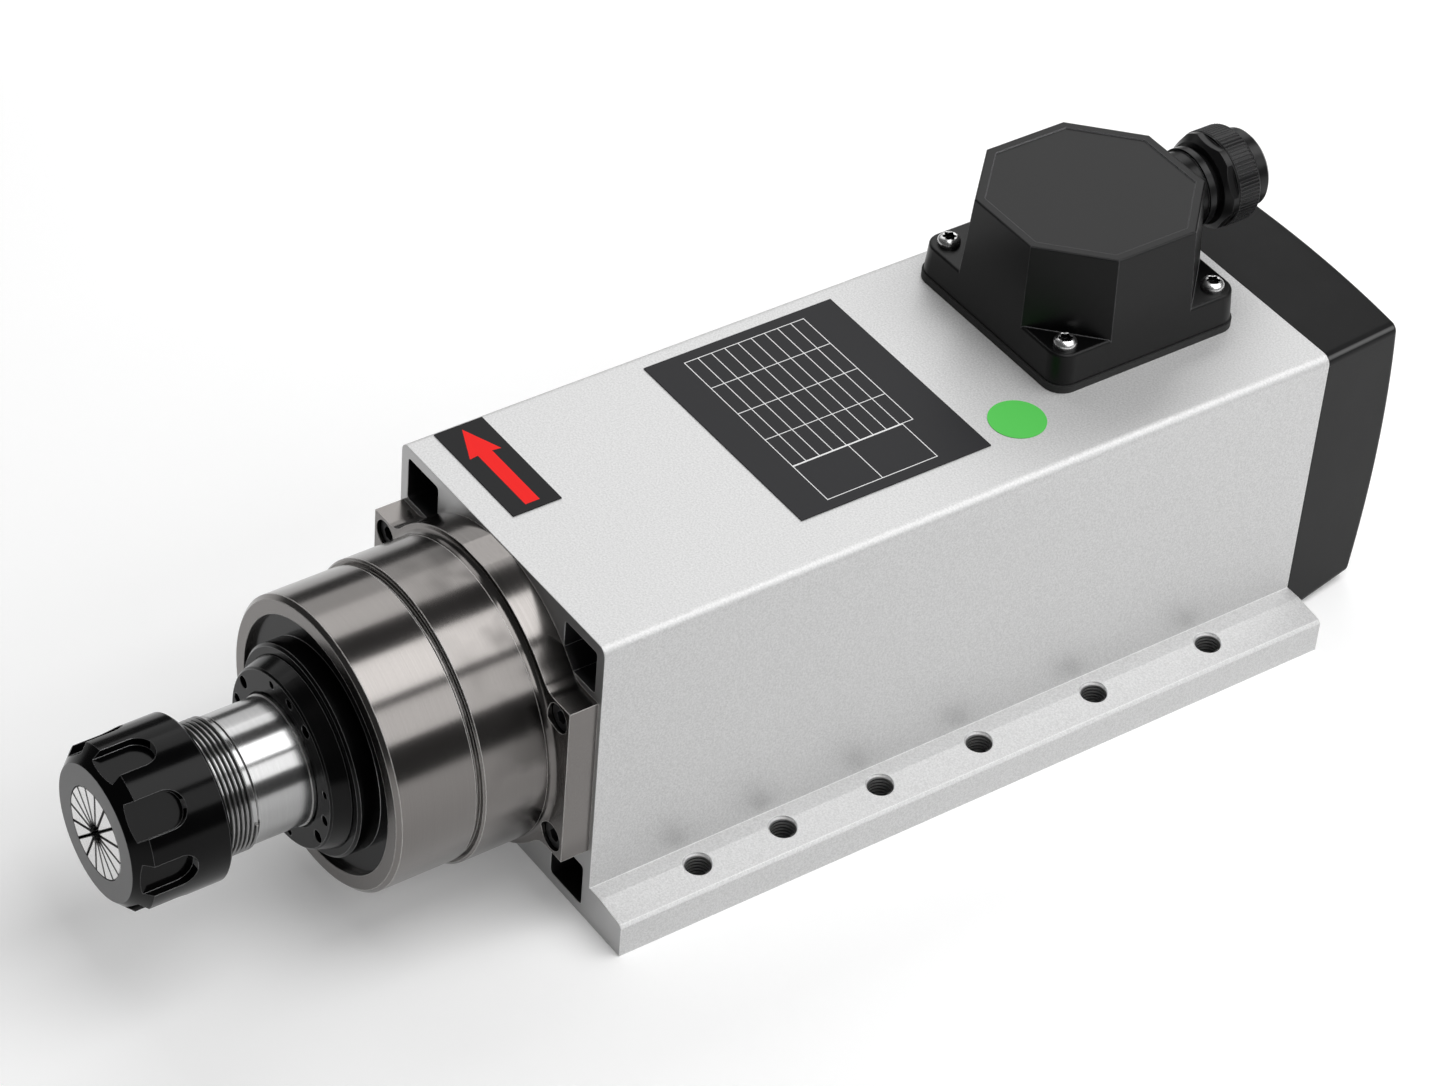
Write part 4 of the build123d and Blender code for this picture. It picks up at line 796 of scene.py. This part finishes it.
def light_bank(name, angle, spread, brightness):
    """A long softbox beside the spindle's axis, at an angle from straight up towards +X."""
    direction = Vector((sin(radians(angle)), 0.0, cos(radians(angle))))
    light = bpy.data.lights.new(name, "AREA")
    light.shape = "RECTANGLE"
    light.size = BANK_LENGTH
    light.size_y = 2 * BANK_REACH * tan(radians(spread / 2))
    light.energy = brightness * pi * light.size * light.size_y
    lamp = linked_object(name, light)
    lamp.location = Vector((0.0, BANK_MIDDLE, SPINDLE_Z)) + BANK_REACH * direction
    lamp.rotation_euler = (-direction).to_track_quat("-Z", "Y").to_euler()


def photo_camera():
    camera_data = bpy.data.cameras.new("photo_camera")
    camera_data.sensor_width = SENSOR_WIDTH
    camera_data.lens = CAMERA_LENS
    camera = linked_object("photo_camera", camera_data)
    camera.location = CAMERA_PLACE
    camera.rotation_euler = tuple(radians(angle) for angle in CAMERA_TURN)
    bpy.context.scene.camera = camera


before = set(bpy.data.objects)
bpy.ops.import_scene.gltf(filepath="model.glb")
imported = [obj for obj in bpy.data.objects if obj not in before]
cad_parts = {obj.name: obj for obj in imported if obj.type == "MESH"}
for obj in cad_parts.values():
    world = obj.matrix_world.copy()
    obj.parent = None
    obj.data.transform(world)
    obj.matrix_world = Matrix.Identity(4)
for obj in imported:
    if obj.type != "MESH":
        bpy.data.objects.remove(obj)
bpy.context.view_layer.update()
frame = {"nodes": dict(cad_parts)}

aluminium = anodised_aluminium()
# Dark patches towards the flange are painted shade, and the pale edges a painted highlight.
gunmetal = turned_metal("turned_gunmetal", (0.210, 0.199, 0.192), dark=(0.160, 0.151, 0.145), roughness=0.18,
                        rings_per_mm=5.0, edge_width=0.40, edge_blur=0.65, edge_full=0.35,
                        painted_shade=flange_shade_mask, painted_shade_colour=(0.05, 0.047, 0.045))
# The pale edges of these turned metals are painted highlights.
ground = turned_metal("ground_shaft", grey(0.42), dark=grey(0.33), roughness=0.21, rings_per_mm=6.0,
                      edge_width=0.2)
threaded = turned_metal("threaded_steel", grey(0.26), dark=grey(0.18), roughness=0.26, rings_per_mm=6.0,
                        anisotropic=0.3)
# The collet's edges and slits are painted near black as shade.
collet_metal = turned_metal("ground_collet", (0.86, 0.855, 0.85), dark=(0.70, 0.695, 0.69), roughness=0.26,
                            rings_per_mm=5.0, anisotropic=0.4, edge_width=0.5, painted_edge_tone=grey(0.012),
                            edge_blur=0.0, painted_shade=slit_shade_mask, painted_shade_colour=grey(0.004))
race_metal = turned_metal("polished_races", (0.70, 0.70, 0.71), dark=(0.60, 0.60, 0.61), roughness=0.12,
                          rings_per_mm=4.0, anisotropic=0.3)
cast_shield = turned_metal("cast_shield", (0.58, 0.58, 0.59), dark=(0.44, 0.44, 0.45), roughness=0.45,
                           rings_per_mm=0.8, anisotropic=0.0)
end_ring_metal = turned_metal("cast_end_rings", (0.62, 0.62, 0.63), dark=(0.48, 0.48, 0.49), roughness=0.4,
                              rings_per_mm=1.0, anisotropic=0.0)
brass_cage = turned_metal("machined_cage", (0.72, 0.52, 0.22), dark=(0.55, 0.38, 0.15), roughness=0.3,
                          rings_per_mm=3.0, painted_edge_tone=(0.95, 0.78, 0.45))
# The bright edges of these blacks are partly wear, partly a painted highlight.
nut_black = black_oxide("nut_black", (0.0012, 0.0012, 0.0013), roughness=0.13,
                        face_colour=(0.235, 0.235, 0.236), gloss=0.12, wear_and_highlight=0.5)
ring_black = black_oxide("ring_black", (0.0012, 0.0012, 0.0013), roughness=0.16,
                         face_colour=(0.010, 0.010, 0.0105), gloss=0.14, wear_and_highlight=0.8)
screw_black = black_oxide("screw_black", (0.02, 0.02, 0.021), roughness=0.38, edge_width=0.2)
# A near-black finish for the screw sockets, as painted shade.
socket_shade = black_oxide("socket_shade", grey(0.002), roughness=0.4, gloss=0.1, wear_and_highlight=0.1)
cut_thread = tapped_thread()
spring_blue = bright_metal("spring_steel", (0.34, 0.35, 0.38), roughness=0.3)
stainless = bright_metal("stainless_steel", grey(0.70), roughness=0.27)
ball_steel = bright_metal("ball_steel", (0.80, 0.80, 0.81), roughness=0.06, marks_per_mm=0.2)
stud_brass = bright_metal("stud_brass", (0.78, 0.58, 0.26), roughness=0.25)
laminations = laminated_steel()
copper = enamelled_wire()
# The cover's long corners and the plastics' edges get a painted highlight.
cover_plastic = moulded_plastic("cover_plastic", (0.0075, 0.0075, 0.0077), roughness=0.38, gloss=0.09,
                                corner_highlight=0.35)
box_plastic = moulded_plastic("box_plastic", (0.0014, 0.0014, 0.0015), roughness=0.32, edge_width=0.5,
                              edge_highlight=0.55, gloss=0.20)
gland_plastic = moulded_plastic("gland_plastic", (0.0035, 0.0035, 0.0037), roughness=0.30, edge_width=0.25,
                                edge_highlight=0.25, gloss=0.24)
fan_plastic = moulded_plastic("fan_plastic", (0.02, 0.02, 0.021), roughness=0.5)
block_resin = moulded_plastic("block_resin", (0.10, 0.035, 0.018), roughness=0.35, edge_width=0.3)
sleeve = moulded_plastic("lead_sleeve", (0.45, 0.05, 0.03), roughness=0.5, edge_width=0.2)
rubber = soft_rubber()
charcoal_foil = printed_foil("charcoal_foil", (0.024, 0.024, 0.026), roughness=0.42)
black_foil = printed_foil("black_foil", (0.012, 0.012, 0.013), roughness=0.4)
white_ink = printed_foil("white_ink", grey(0.80), roughness=0.5)
red_ink = printed_foil("red_ink", (0.88, 0.012, 0.010), roughness=0.45)
green_paper = printed_foil("green_paper", (0.10, 0.55, 0.10), roughness=0.5)

paint(frame, aluminium, "motor_housing")
paint(frame, gunmetal, "front_bearing_housing")
paint(frame, screw_black, "flange_screws", "shield_screws", "fan_cover_screws")
paint(frame, race_metal, "front_bearing_outer_races", "front_bearing_inner_races", "rear_bearing_outer_race",
      "rear_bearing_inner_race")
paint(frame, ball_steel, "front_bearing_balls", "rear_bearing_balls")
paint(frame, brass_cage, "front_bearing_cages", "rear_bearing_cage")
paint(frame, ring_black, "front_bearing_cap", "dust_ring")
paint(frame, spring_blue, "bearing_locknut", "wave_spring", "fan_circlip")
paint(frame, ground, "spindle_shaft")
paint(frame, collet_metal, "collet")
paint(frame, nut_black, "collet_nut")
paint(frame, laminations, "rotor_core", "stator_core")
paint(frame, end_ring_metal, "rotor_end_rings")
paint(frame, copper, "stator_windings")
paint(frame, cast_shield, "rear_end_shield")
paint(frame, fan_plastic, "cooling_fan")
paint(frame, cover_plastic, "fan_cover")
paint(frame, rubber, "box_gasket", "gland_seal")
paint(frame, box_plastic, "terminal_box")
paint(frame, stainless, "box_screws")
paint(frame, block_resin, "terminal_block")
paint(frame, stud_brass, "terminal_studs")
paint(frame, sleeve, "motor_leads")
paint(frame, gland_plastic, "gland_body", "gland_locknut", "gland_clamp_ring", "gland_nut")
paint(frame, charcoal_foil, "rating_plate")
paint(frame, black_foil, "direction_label")
paint(frame, green_paper, "inspection_sticker")

plate_low, plate_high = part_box("rating_plate")
label_low, label_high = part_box("direction_label")
table_x = plate_low.x + TABLE_LEFT
table_y = plate_low.y + TABLE_FRONT
panel_x = table_x + TABLE_LENGTH + RULE_WIDTH

thread = shaft_thread(threaded)
holes = foot_threads(cut_thread)
grip = gland_grip(gland_plastic)
table = ruled_table("plate_table", (table_x, table_y), TABLE_LENGTH, TABLE_DEPTH, plate_high.z,
                    TABLE_ROWS, TABLE_COLUMNS, white_ink)
panel = ruled_table("plate_panel", (panel_x, table_y), PANEL_LENGTH, PANEL_DEPTH, plate_high.z,
                    PANEL_CELLS, 1, white_ink)
arrow = direction_arrow(label_low, label_high, red_ink)
heads = button_heads(stainless, socket_shade)

for piece, body, slot in (
    (thread, "spindle", "ground_steel"),
    (holes, "frame", "housing_aluminium"),
    (grip, "gland_nut", "gland_plastic"),
    (table, "frame", "plate_charcoal"),
    (panel, "frame", "plate_charcoal"),
    (arrow, "frame", "label_black"),
    (heads, "frame", "stainless"),
):
    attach(piece, body)
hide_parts("box_screws")

white_floor()
studio_world()
for bank in LIGHT_BANKS:
    light_bank(*bank)
photo_camera()
bpy.context.scene.view_settings.view_transform = "Standard"
